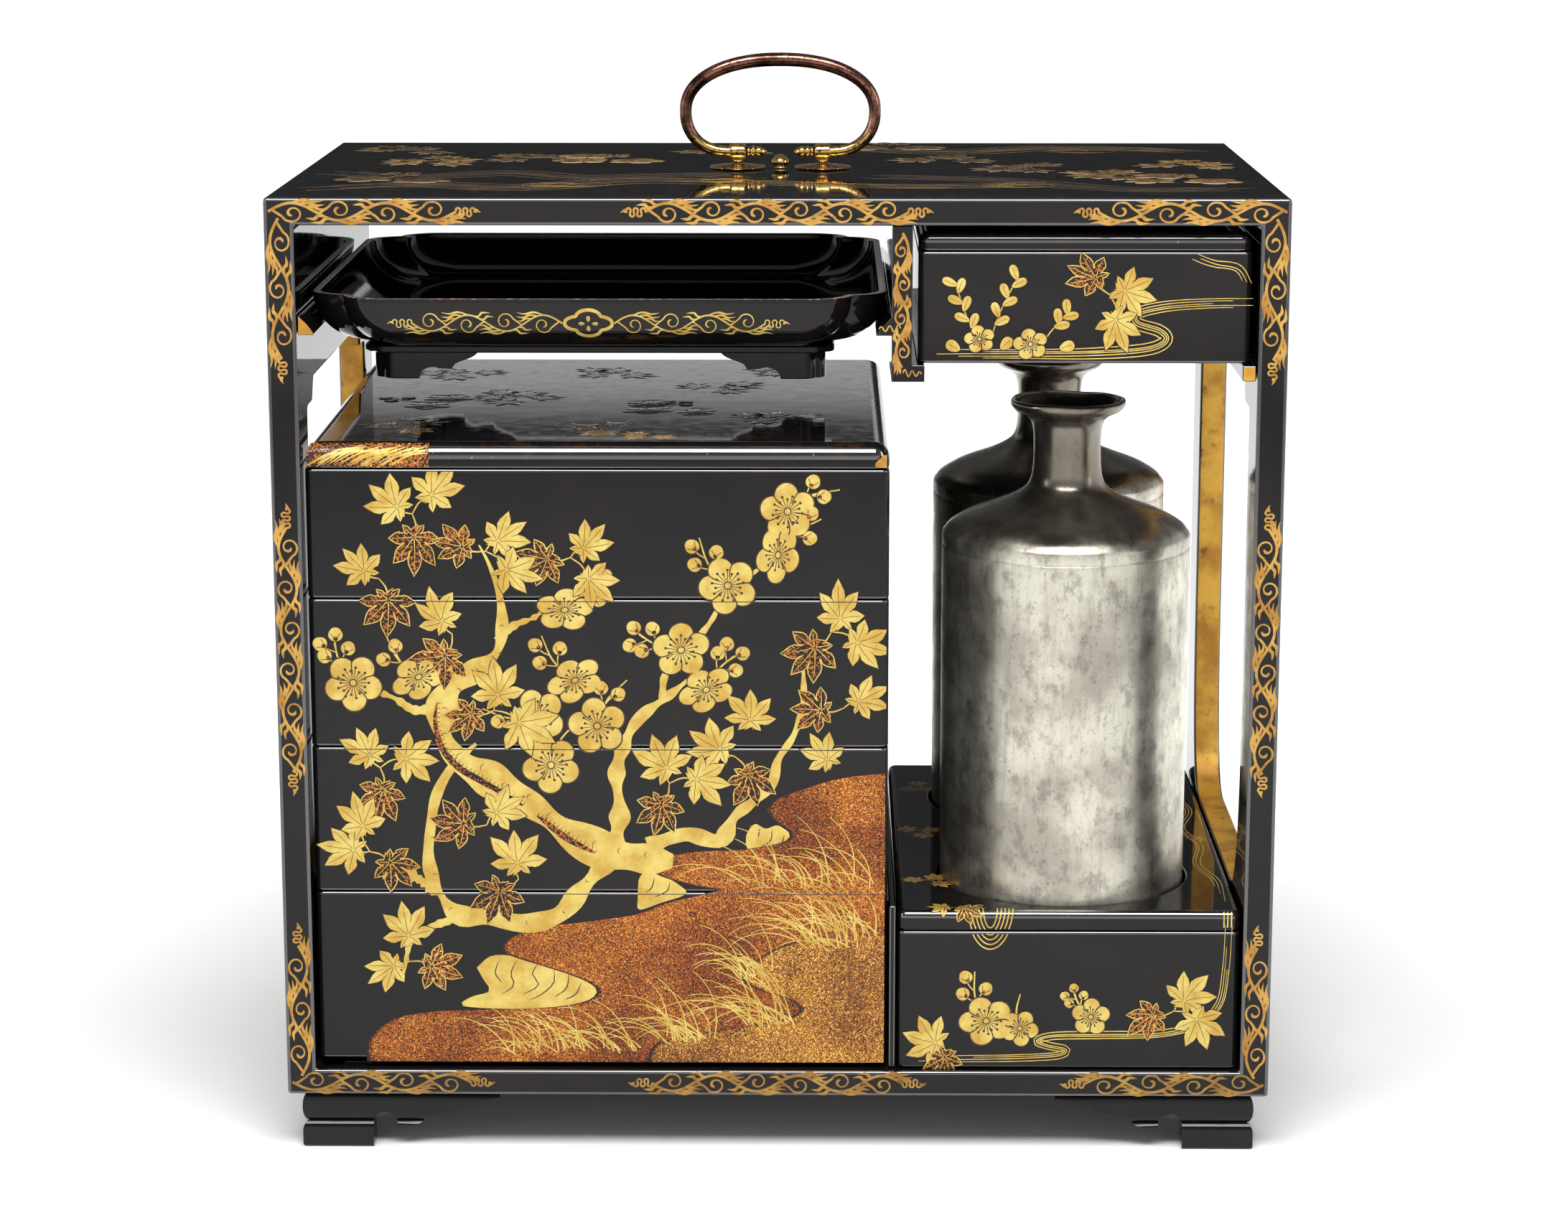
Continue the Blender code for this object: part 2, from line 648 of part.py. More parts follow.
def make_small_box(root):
    make_box(
        "small_box", SMALL_BOX_X, SMALL_BOX_Y, SMALL_BOX_Z, SMALL_BOX_WALL, SMALL_BOX_WALL, SMALL_BOX_CORNER,
        None, root
    )
    low = SMALL_BOX_Z[1] + GAP
    make_lid(
        "small_box_lid", SMALL_BOX_X, SMALL_BOX_Y, (low, SMALL_BOX_LID_TOP), SMALL_BOX_WALL,
        SMALL_BOX_CORNER + MM, SMALL_BOX_LID_ROUND, root
    )


# The tray


def tray_ring(inset, height):
    lobe = TRAY_LOBE - 0.25 * inset
    reach = TRAY_REACH - 0.35 * inset
    return mokko(shrink(TRAY_X, inset), shrink(TRAY_Y, inset), lobe, reach, height)


def make_tray(root):
    """A flaring tray with notched corners. Its sides are quarter ellipses outside and inside."""
    steps = 5
    rings = []
    depth = TRAY_RIM - TRAY_BOTTOM
    for step in range(steps + 1):
        angle = math.radians(90.0) * (1.0 - step / steps)
        rings.append(tray_ring(TRAY_FLARE * (1.0 - math.cos(angle)), TRAY_RIM - depth * math.sin(angle)))
    inside = depth - TRAY_FLOOR
    for step in range(steps + 1):
        angle = math.radians(90.0) * step / steps
        inset = TRAY_WALL + TRAY_FLARE * (1.0 - math.cos(angle))
        rings.append(tray_ring(inset, TRAY_RIM - inside * math.sin(angle)))
    middle = (sum(TRAY_X) / 2.0, sum(TRAY_Y) / 2.0, TRAY_BOTTOM)
    add_object("tray", *loft(rings), lacquer(), root, middle)

    foot_x, foot_y = shrink(TRAY_X, TRAY_FLARE), shrink(TRAY_Y, TRAY_FLARE)
    profile = (
        (TRAY_FOOT_INSET, TRAY_FOOT_BOTTOM), (TRAY_FOOT_INSET, TRAY_FOOT_LEDGE), (0.0, TRAY_FOOT_LEDGE),
        (0.0, TRAY_BOTTOM - GAP), (TRAY_FOOT_INSET + TRAY_FOOT_WALL, TRAY_BOTTOM - GAP),
        (TRAY_FOOT_INSET + TRAY_FOOT_WALL, TRAY_FOOT_BOTTOM),
    )
    rings = [
        mokko(shrink(foot_x, inset), shrink(foot_y, inset), *TRAY_FOOT_CORNER, height, TRAY_FOOT_STEPS)
        for inset, height in profile
    ]
    origin = (middle[0], middle[1], TRAY_FOOT_BOTTOM)
    made = add_object("tray_foot", *loft(rings, closed=True), lacquer(), root, origin)
    for name, span, other, axis in (("x", foot_x, foot_y, "Y"), ("y", foot_y, foot_x, "X")):
        outline = tray_apron(shrink(span, TRAY_FOOT_INSET))
        combine(made, "tray_foot_cutter_" + name, prism(outline, axis, other[0] - MM, other[1] + MM))


def tray_apron(span):
    """What is cut away between two legs of the tray's foot, the second half a mirror image of the first."""
    low = span[0] + TRAY_LEG
    half = [(low + along * MM, TRAY_FOOT_BOTTOM + height * MM) for along, height in TRAY_APRON]
    total = span[0] + span[1]
    other = [(total - across, height) for across, height in reversed(half)]
    return list(reversed(half + other))


# The bottle box and the bottles


def make_bottles(root):
    make_box(
        "bottle_box", BOTTLE_BOX_X, BOTTLE_BOX_Y, BOTTLE_BOX_Z, BOTTLE_BOX_WALL, BOTTLE_BOX_FLOOR,
        TIER_CORNER, None, root
    )
    low, high = BOTTLE_BOX_Z[1] + GAP, BOTTLE_BOX_LID_TOP
    edge = BOTTLE_BOX_LID_ROUND
    profile = ((0.0, low), (0.0, high - edge), (0.3 * edge, high - 0.3 * edge), (edge, high))
    centre_x = sum(BOTTLE_BOX_X) / 2.0
    lid = add_object(
        "bottle_box_lid", *loft(box_rings(BOTTLE_BOX_X, BOTTLE_BOX_Y, TIER_CORNER, profile)), lacquer(), root,
        (centre_x, 0.0, low)
    )
    for name, side in (("front", -1.0), ("rear", 1.0)):
        centre_y = side * BOTTLE_SPACING / 2.0
        rings = [circle(centre_x, centre_y, BOTTLE_HOLE, height) for height in (low - BEYOND, high + BEYOND)]
        combine(lid, "bottle_hole_" + name, loft(rings))
        make_bottle("bottle_" + name, centre_x, centre_y, root)


def inner_side(outside, index):
    """The point that lies a wall's thickness inside one point of the bottle's profile, square to it."""
    before, after = outside[index - 1], outside[index + 1]
    along, up = after[0] - before[0], after[1] - before[1]
    scale = BOTTLE_WALL / math.hypot(along, up)
    radius, height = outside[index]
    return max(radius - up * scale, MOUTH_HOLE), height + along * scale


def make_bottle(name, centre_x, centre_y, root):
    """A hollow bottle: up the outside to the lip, then down the inside to its floor."""
    outside = [(radius * MM, height * MM) for radius, height in BOTTLE_PROFILE]
    first, last = BOTTLE_INSIDE
    inside = [inner_side(outside, index) for index in range(last, first - 1, -1)]
    inside += [(radius * MM, height * MM) for radius, height in BOTTLE_INNER_FLOOR]
    rings = [circle(centre_x, centre_y, radius, height) for radius, height in outside + inside]
    add_object(name, *loft(rings), pewter(), root, (centre_x, centre_y, BOTTLE_BASE), smooth=True)


def main():
    for old in list(bpy.data.objects):
        bpy.data.objects.remove(old, do_unlink=True)
    root = add_empty("case_frame", (0.0, 0.0, 0.0))
    axis_empty = add_empty("handle_axis", (0.0, 0.0, CASE_TOP + PIVOT_HEIGHT))
    make_case(root)
    for side_name, side in (("left", -1), ("right", 1)):
        make_foot("foot_front_" + side_name, side, -1, root)
        make_foot("foot_back_" + side_name, side, 1, root)
    make_fittings(root, axis_empty)
    make_stack(root)
    make_tray(root)
    make_small_box(root)
    make_bottles(root)


main()
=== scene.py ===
"""Dresses a lacquered picnic box: gold pictures on black, two pewter bottles and a brass handle.

Every size is in millimetres times MM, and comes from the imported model's boxes where it can.
"""

import sys

import logging
import math
from collections.abc import Callable, Sequence
from dataclasses import dataclass, field
from enum import Enum

import bpy
import bmesh
import numpy as np
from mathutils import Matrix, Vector


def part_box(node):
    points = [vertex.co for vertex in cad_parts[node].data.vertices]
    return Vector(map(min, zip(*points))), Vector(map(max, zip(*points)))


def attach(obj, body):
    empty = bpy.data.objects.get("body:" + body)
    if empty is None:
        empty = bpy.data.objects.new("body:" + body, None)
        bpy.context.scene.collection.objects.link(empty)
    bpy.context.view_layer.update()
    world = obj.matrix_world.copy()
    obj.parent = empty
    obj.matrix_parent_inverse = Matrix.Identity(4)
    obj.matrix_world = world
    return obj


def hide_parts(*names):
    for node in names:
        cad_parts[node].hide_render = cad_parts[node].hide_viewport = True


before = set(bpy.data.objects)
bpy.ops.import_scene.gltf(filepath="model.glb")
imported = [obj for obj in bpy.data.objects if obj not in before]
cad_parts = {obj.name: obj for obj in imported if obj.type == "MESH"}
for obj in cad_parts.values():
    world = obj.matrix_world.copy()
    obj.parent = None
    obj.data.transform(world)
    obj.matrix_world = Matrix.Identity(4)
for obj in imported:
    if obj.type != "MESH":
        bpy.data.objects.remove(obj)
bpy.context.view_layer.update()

LOG = logging.getLogger("picnic_box")
MM = 0.001
CASE_BODY = "case"
HANDLE_BODY = "handle"
BOARDS = ("case_top", "case_base", "case_side_left", "case_side_right")
TIERS = ("tier_1", "tier_2", "tier_3", "tier_4")
Array = np.ndarray
Socket = bpy.types.NodeSocket
Mesh = bpy.types.Mesh


# Colours and nodes


def linear(code: str) -> tuple[float, ...]:
    """Turns an sRGB hex colour to linear light, with an alpha of one."""
    values = [int(code[index:index + 2], 16) / 255.0 for index in (1, 3, 5)]
    return (*(value / 12.92 if value <= 0.04045 else ((value + 0.055) / 1.055) ** 2.4 for value in values),
            1.0)


def feed(tree: bpy.types.NodeTree, node: bpy.types.Node, inputs: dict) -> None:
    """Sets a node's inputs, each to a value or from a source socket."""
    for name, value in inputs.items():
        if isinstance(value, Socket):
            tree.links.new(value, node.inputs[name])
        else:
            node.inputs[name].default_value = value


def add(tree: bpy.types.NodeTree, kind: str, inputs: dict, **settings: object) -> bpy.types.Node:
    """Adds a node of a kind such as Math, with its inputs and its own properties."""
    made = tree.nodes.new("ShaderNode" + kind)
    for name, value in settings.items():
        setattr(made, name, value)
    feed(tree, made, inputs)
    return made


class Canvas:
    """A new material's node tree, with the few patterns that every finish here is mixed from."""

    def __init__(self, name: str) -> None:
        """Starts an empty material with a Principled shader."""
        self.material = bpy.data.materials.new(name)
        self.material.use_nodes = True
        self.tree = self.material.node_tree
        self.shader = self.tree.nodes["Principled BSDF"]
        self.place = add(self.tree, "TexCoord", {}).outputs["Object"]

    def noise(self, size: float, detail: float = 3.0, stretch: Sequence[float] = (1.0, 1.0, 1.0),
              roughness: float = 0.55) -> Socket:
        """A soft pattern from 0 to 1.

        Args:
            size: the width of its features in metres.
            detail: how many finer layers it has.
            stretch: how much closer its features lie along each axis.
            roughness: how strong the finer layers are.
        """
        mapped = add(self.tree, "Mapping", {"Vector": self.place, "Scale": stretch}).outputs[0]
        inputs = {"Vector": mapped, "Scale": 1.0 / size, "Detail": detail, "Roughness": roughness}
        return add(self.tree, "TexNoise", inputs).outputs["Fac"]

    def cloud(self, size: float, detail: float, low: float, high: float, to_low: float = 0.0,
              to_high: float = 1.0) -> Socket:
        """A soft pattern with one range carried over to another: see `noise` and `ramp`."""
        return self.ramp(self.noise(size, detail), low, high, to_low, to_high)

    def layer(self, below: object, above: str, size: float, detail: float, low: float, high: float,
              cover: float = 1.0) -> Socket:
        """Lays a colour over another where a soft pattern is high, and hides up to `cover` of it."""
        return self.mix(self.cloud(size, detail, low, high, 0.0, cover), below, above)

    def flakes(self, size: float, channel: int) -> Socket:
        """Cells of one size in metres, each with its own random value."""
        cells = add(self.tree, "TexVoronoi", {"Vector": self.place, "Scale": 1.0 / size}).outputs["Color"]
        return add(self.tree, "SeparateColor", {"Color": cells}).outputs[channel]

    def axis(self, index: int) -> Socket:
        """One coordinate of the place, in metres."""
        return add(self.tree, "SeparateXYZ", {"Vector": self.place}).outputs[index]

    def attribute(self, name: str) -> Socket:
        """A value stored on the mesh, 0 where the mesh has none."""
        return add(self.tree, "Attribute", {}, attribute_name=name).outputs["Fac"]

    def ramp(self, value: Socket, low: float, high: float, to_low: float = 0.0,
             to_high: float = 1.0) -> Socket:
        """Carries a range of values over to another, clamped."""
        inputs = {"Value": value, "From Min": low, "From Max": high, "To Min": to_low, "To Max": to_high}
        return add(self.tree, "MapRange", inputs, clamp=True,
                   interpolation_type="SMOOTHSTEP").outputs["Result"]

    def math(self, operation: str, first: object, second: object) -> Socket:
        """Joins two values, each a socket or a number."""
        return add(self.tree, "Math", {0: first, 1: second}, operation=operation).outputs[0]

    def mix(self, share: object, first: object, second: object) -> Socket:
        """Mixes two colours, each a socket or a hex code, by a share from 0 to 1."""
        colours = [linear(item) if isinstance(item, str) else item for item in (first, second)]
        return add(self.tree, "Mix", {0: share, 6: colours[0], 7: colours[1]}, data_type="RGBA").outputs[2]

    def bump(self, height: Socket, depth: float, strength: float) -> None:
        """Roughens the surface by a pattern whose full swing is `depth` metres."""
        made = add(self.tree, "Bump", {"Height": height, "Distance": depth, "Strength": strength})
        self.set({"Normal": made.outputs[0]})

    def set(self, inputs: dict) -> None:
        """Sets or links the shader's own sockets."""
        feed(self.tree, self.shader, inputs)


@dataclass(frozen=True)
class Finish:
    """A surface finish, named for the real material and how it was made: a ground under soft layers.

    A layer is a colour, its pattern's size and detail, the range over which it comes in, and its cover.
    """

    name: str
    ground: str = "#000000"
    layers: tuple[tuple, ...] = ()
    metallic: float = 0.0
    roughness: float = 0.5
    gloss: float = 1.5
    relief: tuple[float, ...] = ()

    def colour(self, canvas: Canvas) -> object:
        """Lays each layer over the last."""
        colour = self.ground
        for layer in self.layers:
            colour = canvas.layer(colour, *layer)
        return colour

    def paint(self, canvas: Canvas) -> None:
        """Fills the shader in. The relief is a pattern's size and detail, its depth and its strength."""
        canvas.set({"Base Color": self.colour(canvas), "Metallic": self.metallic, "Roughness": self.roughness,
                    "IOR": self.gloss})
        if self.relief:
            size, detail, depth, strength = self.relief
            canvas.bump(canvas.noise(size, detail), depth, strength)

    def material(self) -> bpy.types.Material:
        """Returns the finish's material, made on first use."""
        found = bpy.data.materials.get(self.name)
        if found:
            return found
        canvas = Canvas(self.name)
        self.paint(canvas)
        canvas.material.diffuse_color = canvas.shader.inputs["Base Color"].default_value
        return canvas.material


@dataclass(frozen=True)
class PolishedLacquer(Finish):
    """Urushi lacquer on wood, polished with charcoal: neutral black with a slightly wavy mirror gloss."""

    name: str = "urushi_lacquer_polished"
    ground: str = "#100f0f"
    brown: str = "#1d1512"
    rubbed: str = "#4a2a1c"
    bare: str = "#a8845a"
    roughness: float = 0.03
    gloss: float = 1.37
    ripple: float = 16.0 * MM
    wave: float = 0.02 * MM
    handled: float = 0.0

    def paint(self, canvas: Canvas) -> None:
        """Black with faint brown clouds, rubbed and chipped here and there where the edge value is high."""
        clouds = canvas.cloud(28.0 * MM, 3.0, 0.42, 0.75)
        colour = canvas.mix(canvas.math("MULTIPLY", clouds, 0.5), self.ground, self.brown)
        edge = canvas.math("MAXIMUM", canvas.attribute("edge"), self.handled)
        rub = canvas.math("MULTIPLY", edge, canvas.cloud(9.0 * MM, 4.0, 0.54, 0.70))
        colour = canvas.mix(canvas.math("MULTIPLY", rub, 0.6), colour, self.rubbed)
        chip = canvas.math("MULTIPLY", edge, canvas.cloud(1.8 * MM, 4.0, 0.69, 0.74))
        dull = canvas.cloud(5.0 * MM, 5.0, 0.35, 0.8, self.roughness, self.roughness + 0.05)
        canvas.set({"Base Color": canvas.mix(chip, colour, self.bare), "Roughness": dull, "IOR": self.gloss})
        canvas.bump(canvas.noise(self.ripple, 1.0), self.wave, 0.5)


@dataclass(frozen=True)
class SunkenGold(Finish):
    """Togidashi: a gold picture polished level under clear lacquer, faint and thin under a mirror gloss."""

    name: str = "togidashi_gold_under_lacquer"
    ground: str = "#1a120d"
    gold: str = "#d8a655"
    cover: float = 0.9

    def paint(self, canvas: Canvas) -> None:
        """Gold that thins out to black in clouds and in a fine grain."""
        worn = canvas.cloud(14.0 * MM, 5.0, 0.38, 0.68, self.cover, 0.3 * self.cover)
        grain = canvas.cloud(0.35 * MM, 1.0, 0.35, 0.65, 0.55, 1.0)
        colour = canvas.mix(canvas.math("MULTIPLY", worn, grain), self.ground, self.gold)
        canvas.set({"Base Color": colour, "Roughness": 0.04, "IOR": 1.4})


@dataclass(frozen=True)
class PearSkin(Finish):
    """Nashiji: coarse gold flakes under amber lacquer, so orange and yellow specks glow on red-brown."""

    name: str = "nashiji_pear_skin"
    ground: str = "#290f05"
    amber: str = "#92460e"
    bright: str = "#cc8c36"
    flake: float = 0.27 * MM
    dense: float = 0.34

    def paint(self, canvas: Canvas) -> None:
        """Random flakes, closer together where the clouds are light, fewer where the edge value is high."""
        clouds = canvas.cloud(26.0 * MM, 2.0, 0.3, 0.7, -0.16, 0.16)
        clouds = canvas.math("SUBTRACT", clouds, canvas.attribute("edge"))
        colour = canvas.mix(canvas.attribute("edge"), self.ground, LACQUER.ground)
        for above, size, channel, start, soft in ((self.amber, 1.0, 0, 0.0, 0.12),
                                                  (self.bright, 1.3, 1, 0.44, 0.08)):
            shown = canvas.math("ADD", canvas.flakes(self.flake * size, channel), clouds)
            start += self.dense
            colour = canvas.mix(canvas.ramp(shown, start, start + soft), colour, above)
        canvas.set({"Base Color": colour, "Roughness": 0.5, "IOR": 1.4})


@dataclass(frozen=True)
class Pewter(Finish):
    """Turned pewter with a century of tarnish: warm light metal, finely blotched, and painted shade makes it
    brown-grey on top.
    """

    name: str = "pewter_tarnished_painted_shade"
    ground: str = "#d8d4c4"
    layers: tuple[tuple, ...] = (("#a9a498", 24.0 * MM, 4.0, 0.38, 0.66),)
    tarnish: str = "#76716a"
    brown: str = "#6d665c"
    spot: str = "#3a372f"
    shoulder: tuple[float, float] = (195.0 * MM, 203.0 * MM)

    def paint(self, canvas: Canvas) -> None:
        """Light metal under fine blotches and streaks, with painted shade that darkens the shoulder and neck.
        """
        blotch = canvas.ramp(canvas.noise(5.0 * MM, 6.0, (1.0, 1.0, 0.7), 0.72), 0.48, 0.65, 0.0, 0.55)
        colour = canvas.mix(blotch, self.colour(canvas), self.tarnish)
        streak = canvas.ramp(canvas.noise(2.2 * MM, 4.0, (1.0, 1.0, 0.12), 0.6), 0.46, 0.7, 0.0, 0.25)
        colour = canvas.layer(canvas.mix(streak, colour, self.tarnish), self.spot, 1.0 * MM, 3.0, 0.62, 0.72,
                              0.5)
        # Painted shade: from the shoulder up the colour turns to the dark brown-grey, standing in for shade
        # and dark reflections on top.
        up = canvas.math("ADD", canvas.axis(2), canvas.cloud(9.0 * MM, 3.0, 0.3, 0.7, -2.0 * MM, 2.0 * MM))
        dark = canvas.ramp(up, *self.shoulder)
        colour = canvas.mix(canvas.math("MULTIPLY", dark, 0.85), colour, self.brown)
        dull = canvas.cloud(11.0 * MM, 6.0, 0.3, 0.75, 0.27, 0.46)
        dull = canvas.math("SUBTRACT", dull, canvas.math("MULTIPLY", dark, 0.08))
        canvas.set({"Base Color": colour, "Metallic": 0.92, "Roughness": dull})
        canvas.bump(canvas.noise(0.9 * MM, 3.0, (1.0, 1.0, 4.0)), 0.02 * MM, 0.4)


@dataclass(frozen=True)
class Brass(Finish):
    """Cast brass with a brown patina, rubbed bright and speckled near the hinge."""

    name: str = "cast_brass_patinated"
    ground: str = "#94685a"
    shade: str = "#3e2a21"
    bright: str = "#c2a062"
    rubbed: tuple[float, float] = (317.0 * MM, 330.0 * MM)

    def paint(self, canvas: Canvas) -> None:
        """Brown above, turning to speckled brass towards the hinge."""
        rub = canvas.math("SUBTRACT", canvas.math("MULTIPLY", canvas.noise(6.0 * MM, 5.0), 1.5),
                          canvas.ramp(canvas.axis(2), *self.rubbed))
        body = canvas.layer(self.ground, self.shade, 9.0 * MM, 4.0, 0.35, 0.7)
        colour = canvas.mix(canvas.ramp(rub, 0.0, 0.45), body, self.bright)
        colour = canvas.layer(colour, self.shade, 1.1 * MM, 4.0, 0.52, 0.64, 0.9)
        dull = canvas.cloud(4.0 * MM, 4.0, 0.3, 0.8, 0.12, 0.27)
        canvas.set({"Base Color": colour, "Metallic": 1.0, "Roughness": dull})
        canvas.bump(canvas.noise(1.0 * MM, 3.0), 0.03 * MM, 0.5)


@dataclass(frozen=True)
class PaleFloor(Finish):
    """A matt white studio table with a painted glow, which grows towards its back and its sides."""

    name: str = "white_acrylic_painted_glow"

    def paint(self, canvas: Canvas) -> None:
        """Plain and matt. Its glow grows with y + 0.6 |x|, and again far in front."""
        # Painted glow: the table's own emission, nothing near the case, growing away from it and again far in
        # front.
        side = canvas.math("MULTIPLY", canvas.math("ABSOLUTE", canvas.axis(0), 0.0), 0.6)
        glow = canvas.ramp(canvas.math("ADD", canvas.axis(1), side), 0.05, 0.7, 0.0, 0.85)
        glow = canvas.math("MAXIMUM", glow, canvas.ramp(canvas.axis(1), -1.5, -2.3, 0.0, 0.85))
        canvas.set({"Base Color": linear("#f6f6f6"), "Roughness": 0.9, "Specular IOR Level": 0.1,
                    "Emission Color": linear("#ffffff"), "Emission Strength": glow})


def makie(name: str, light: str, deep: str, worn: str, wear: float) -> Finish:
    """Maki-e: gold powder sprinkled on wet lacquer and burnished, in light and deep patches, with grain.

    Args:
        name: the material's name.
        light: the gold where it is fresh.
        deep: the gold where it is deep.
        worn: what shows in its grain and where it is thin.
        wear: how much of it is thin.
    """
    grain = 0.22 * MM
    layers = ((light, 7.0 * MM, 3.0, 0.3, 0.7), (worn, 2.4 * MM, 5.0, 0.52, 0.75, wear),
              (worn, grain, 1.0, 0.52, 0.78, 0.3))
    return Finish(name, deep, layers, 0.45, 0.48, relief=(grain, 1.0, 0.02 * MM, 0.5))


LACQUER = PolishedLacquer()
EDGE = PolishedLacquer("urushi_lacquer_handled_edge", gloss=2.15, roughness=0.06, ripple=7.0 * MM,
                       wave=0.05 * MM, handled=0.6)
# A worn rim: rubbed red-brown lacquer, whose pale mottled layer is partly wear and partly a painted highlight
# line.
RIM = Finish("urushi_lacquer_worn_rim_painted_highlight", "#1a100d", (("#5a3322", 7.0 * MM, 4.0, 0.36, 0.54),
                                                   ("#c39c74", 1.6 * MM, 3.0, 0.52, 0.66)), 0.0, 0.2, 1.8)
GILT = Finish("gilt_lacquer_mottled", "#dcab43", (("#ad7827", 12.0 * MM, 4.0, 0.35, 0.7),
                                                 ("#5c3a18", 5.0 * MM, 6.0, 0.58, 0.75, 0.8)),
              0.45, 0.42, relief=(0.5 * MM, 2.0, 0.02 * MM, 0.4))
PEWTER = Pewter()
BRASS = Brass()


# Meshes


class Surface:
    """Collects grids of points and turns them into one mesh."""

    def __init__(self) -> None:
        """Starts with nothing."""
        self.points: list[Array] = []
        self.faces: list[Array] = []
        self.caps: list[tuple[list[int], int]] = []
        self.slots: list[Array] = []
        self.edges: list[Array] = []
        self.count = 0

    def grid(self, points: Array, close_columns: bool = False, close_rows: bool = False, slot: int = 0,
             edge: Array | None = None, cap_start: bool = False, cap_end: bool = False) -> None:
        """Adds a surface that looks outward where its columns run anticlockwise and its rows run up.

        Args:
            points: rows by columns by three.
            close_columns: joins each row's ends.
            close_rows: joins the last row to the first.
            slot: the material index.
            edge: how much of an edge each row is, from 0 to 1.
            cap_start: closes the first row with a face.
            cap_end: closes the last row with a face.
        """
        rows, columns = points.shape[:2]
        index = np.arange(rows * columns).reshape(rows, columns) + self.count
        if close_columns:
            index = np.concatenate([index, index[:, :1]], axis=1)
        if close_rows:
            index = np.concatenate([index, index[:1]], axis=0)
        faces = np.stack([index[:-1, :-1], index[:-1, 1:], index[1:, 1:], index[1:, :-1]],
                         axis=-1).reshape(-1, 4)
        self.points.append(points.reshape(-1, 3))
        self.faces.append(faces)
        self.slots.append(np.full(len(faces), slot))
        self.edges.append(np.repeat(np.zeros(rows) if edge is None else edge, columns))
        if cap_start:
            self.caps.append((index[0, :columns][::-1].tolist(), slot))
        if cap_end:
            self.caps.append((index[rows - 1, :columns].tolist(), slot))
        self.count += rows * columns

    def mesh(self, name: str, merge: float = 0.0, closed: bool = False) -> Mesh:
        """Makes the mesh, with an edge value for each point.

        Args:
            name: its name.
            merge: points closer than this become one.
            closed: whether its faces have to be turned outward.
        """
        made = bpy.data.meshes.new(name)
        quads = np.concatenate(self.faces).tolist()
        made.from_pydata(np.concatenate(self.points), [], quads + [cap for cap, _ in self.caps])
        slots = np.concatenate(self.slots + [np.array([slot for _, slot in self.caps], dtype=int)])
        made.polygons.foreach_set("material_index", slots.astype(np.int32))
        values = made.attributes.new("edge", "FLOAT", "POINT")
        values.data.foreach_set("value", np.concatenate(self.edges).astype(np.float32))
        work = bmesh.new()
        work.from_mesh(made)
        if merge > 0.0:
            bmesh.ops.remove_doubles(work, verts=work.verts, dist=merge)
        if closed:
            bmesh.ops.recalc_face_normals(work, faces=work.faces)
        work.to_mesh(made)
        work.free()
        return made


def loft(name: str, rings: Array, merge: float = 0.0, edge: Array | None = None, hoop: bool = False,
         closed: bool = False) -> Mesh:
    """A solid through closed rings.

    Args:
        name: the mesh's name.
        rings: rings by points by three.
        merge: points closer than this become one.
        edge: how much of an edge each ring is. Faces beside such a ring take the second material.
        hoop: whether the last ring joins the first; if not, both ends are capped.
        closed: whether its faces have to be turned outward.
    """
    surface = Surface()
    surface.grid(rings, True, hoop, 0, edge, not hoop, not hoop)
    if edge is not None:
        beside = np.maximum(edge[:-1], edge[1:]) > 0.01
        surface.slots[0] = np.repeat(beside, rings.shape[1]).astype(int)
    return surface.mesh(name, merge, closed)


def link(name: str, thing: object) -> bpy.types.Object:
    """Puts a mesh, a light or a camera into the scene."""
    made = bpy.data.objects.new(name, thing)
    bpy.context.scene.collection.objects.link(made)
    return made


def show(name: str, mesh: Mesh, finishes: Sequence[Finish] = (), instead_of: Sequence[str] = (),
         angle: float = 40.0, body: str = CASE_BODY) -> None:
    """Puts a finished mesh into the scene.

    Args:
        name: the piece's name.
        mesh: its mesh, in place.
        finishes: one for each material index, or none where the mesh has its own.
        instead_of: the CAD nodes it stands for.
        angle: faces that meet at less than this many degrees are shaded as one.
        body: the body it rides on.
    """
    for finish in finishes:
        mesh.materials.append(finish.material())
    mesh.shade_smooth()
    mesh.set_sharp_from_angle(angle=math.radians(angle))
    made = link(name, mesh)
    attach(made, body)
    if instead_of:
        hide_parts(*instead_of)
        made.modifiers.new("flat_faces", "WEIGHTED_NORMAL").keep_sharp = True
    LOG.info("%s: %d faces", name, len(mesh.polygons))


def prism(outline: Array, axis: int, low: float, high: float) -> Mesh:
    """A closed outline, given as the two other coordinates, carried straight along one axis."""
    return loft("prism", np.stack([np.insert(outline, axis, level, axis=1) for level in (low, high)]),
                closed=True)


def carve(blank: Mesh, cutters: Sequence[Mesh], finishes: Sequence[Finish], width: float = 0.0,
          limit: float = 40.0) -> Mesh:
    """Cuts solids out of a blank, then rounds its edges.

    Args:
        blank: the solid.
        cutters: what is taken away.
        finishes: one for each material index. The rounds take the last.
        width: how wide the rounds are, or 0 for none.
        limit: edges that turn by more than this many degrees are rounded.

    Returns:
        The finished mesh.
    """
    for finish in finishes:
        blank.materials.append(finish.material())
    items = [link(mesh.name, mesh) for mesh in (blank, *cutters)]
    for item in items[1:]:
        cut = items[0].modifiers.new("cut", "BOOLEAN")
        cut.object, cut.operation, cut.solver = item, "DIFFERENCE", "EXACT"
    if width > 0.0:
        bevel = items[0].modifiers.new("edges", "BEVEL")
        bevel.width, bevel.segments, bevel.limit_method = width, 4, "ANGLE"
        bevel.angle_limit, bevel.material = math.radians(limit), len(finishes) - 1
    mesh = bpy.data.meshes.new_from_object(items[0].evaluated_get(bpy.context.evaluated_depsgraph_get()))
    for item in items:
        bpy.data.objects.remove(item)
    return mesh


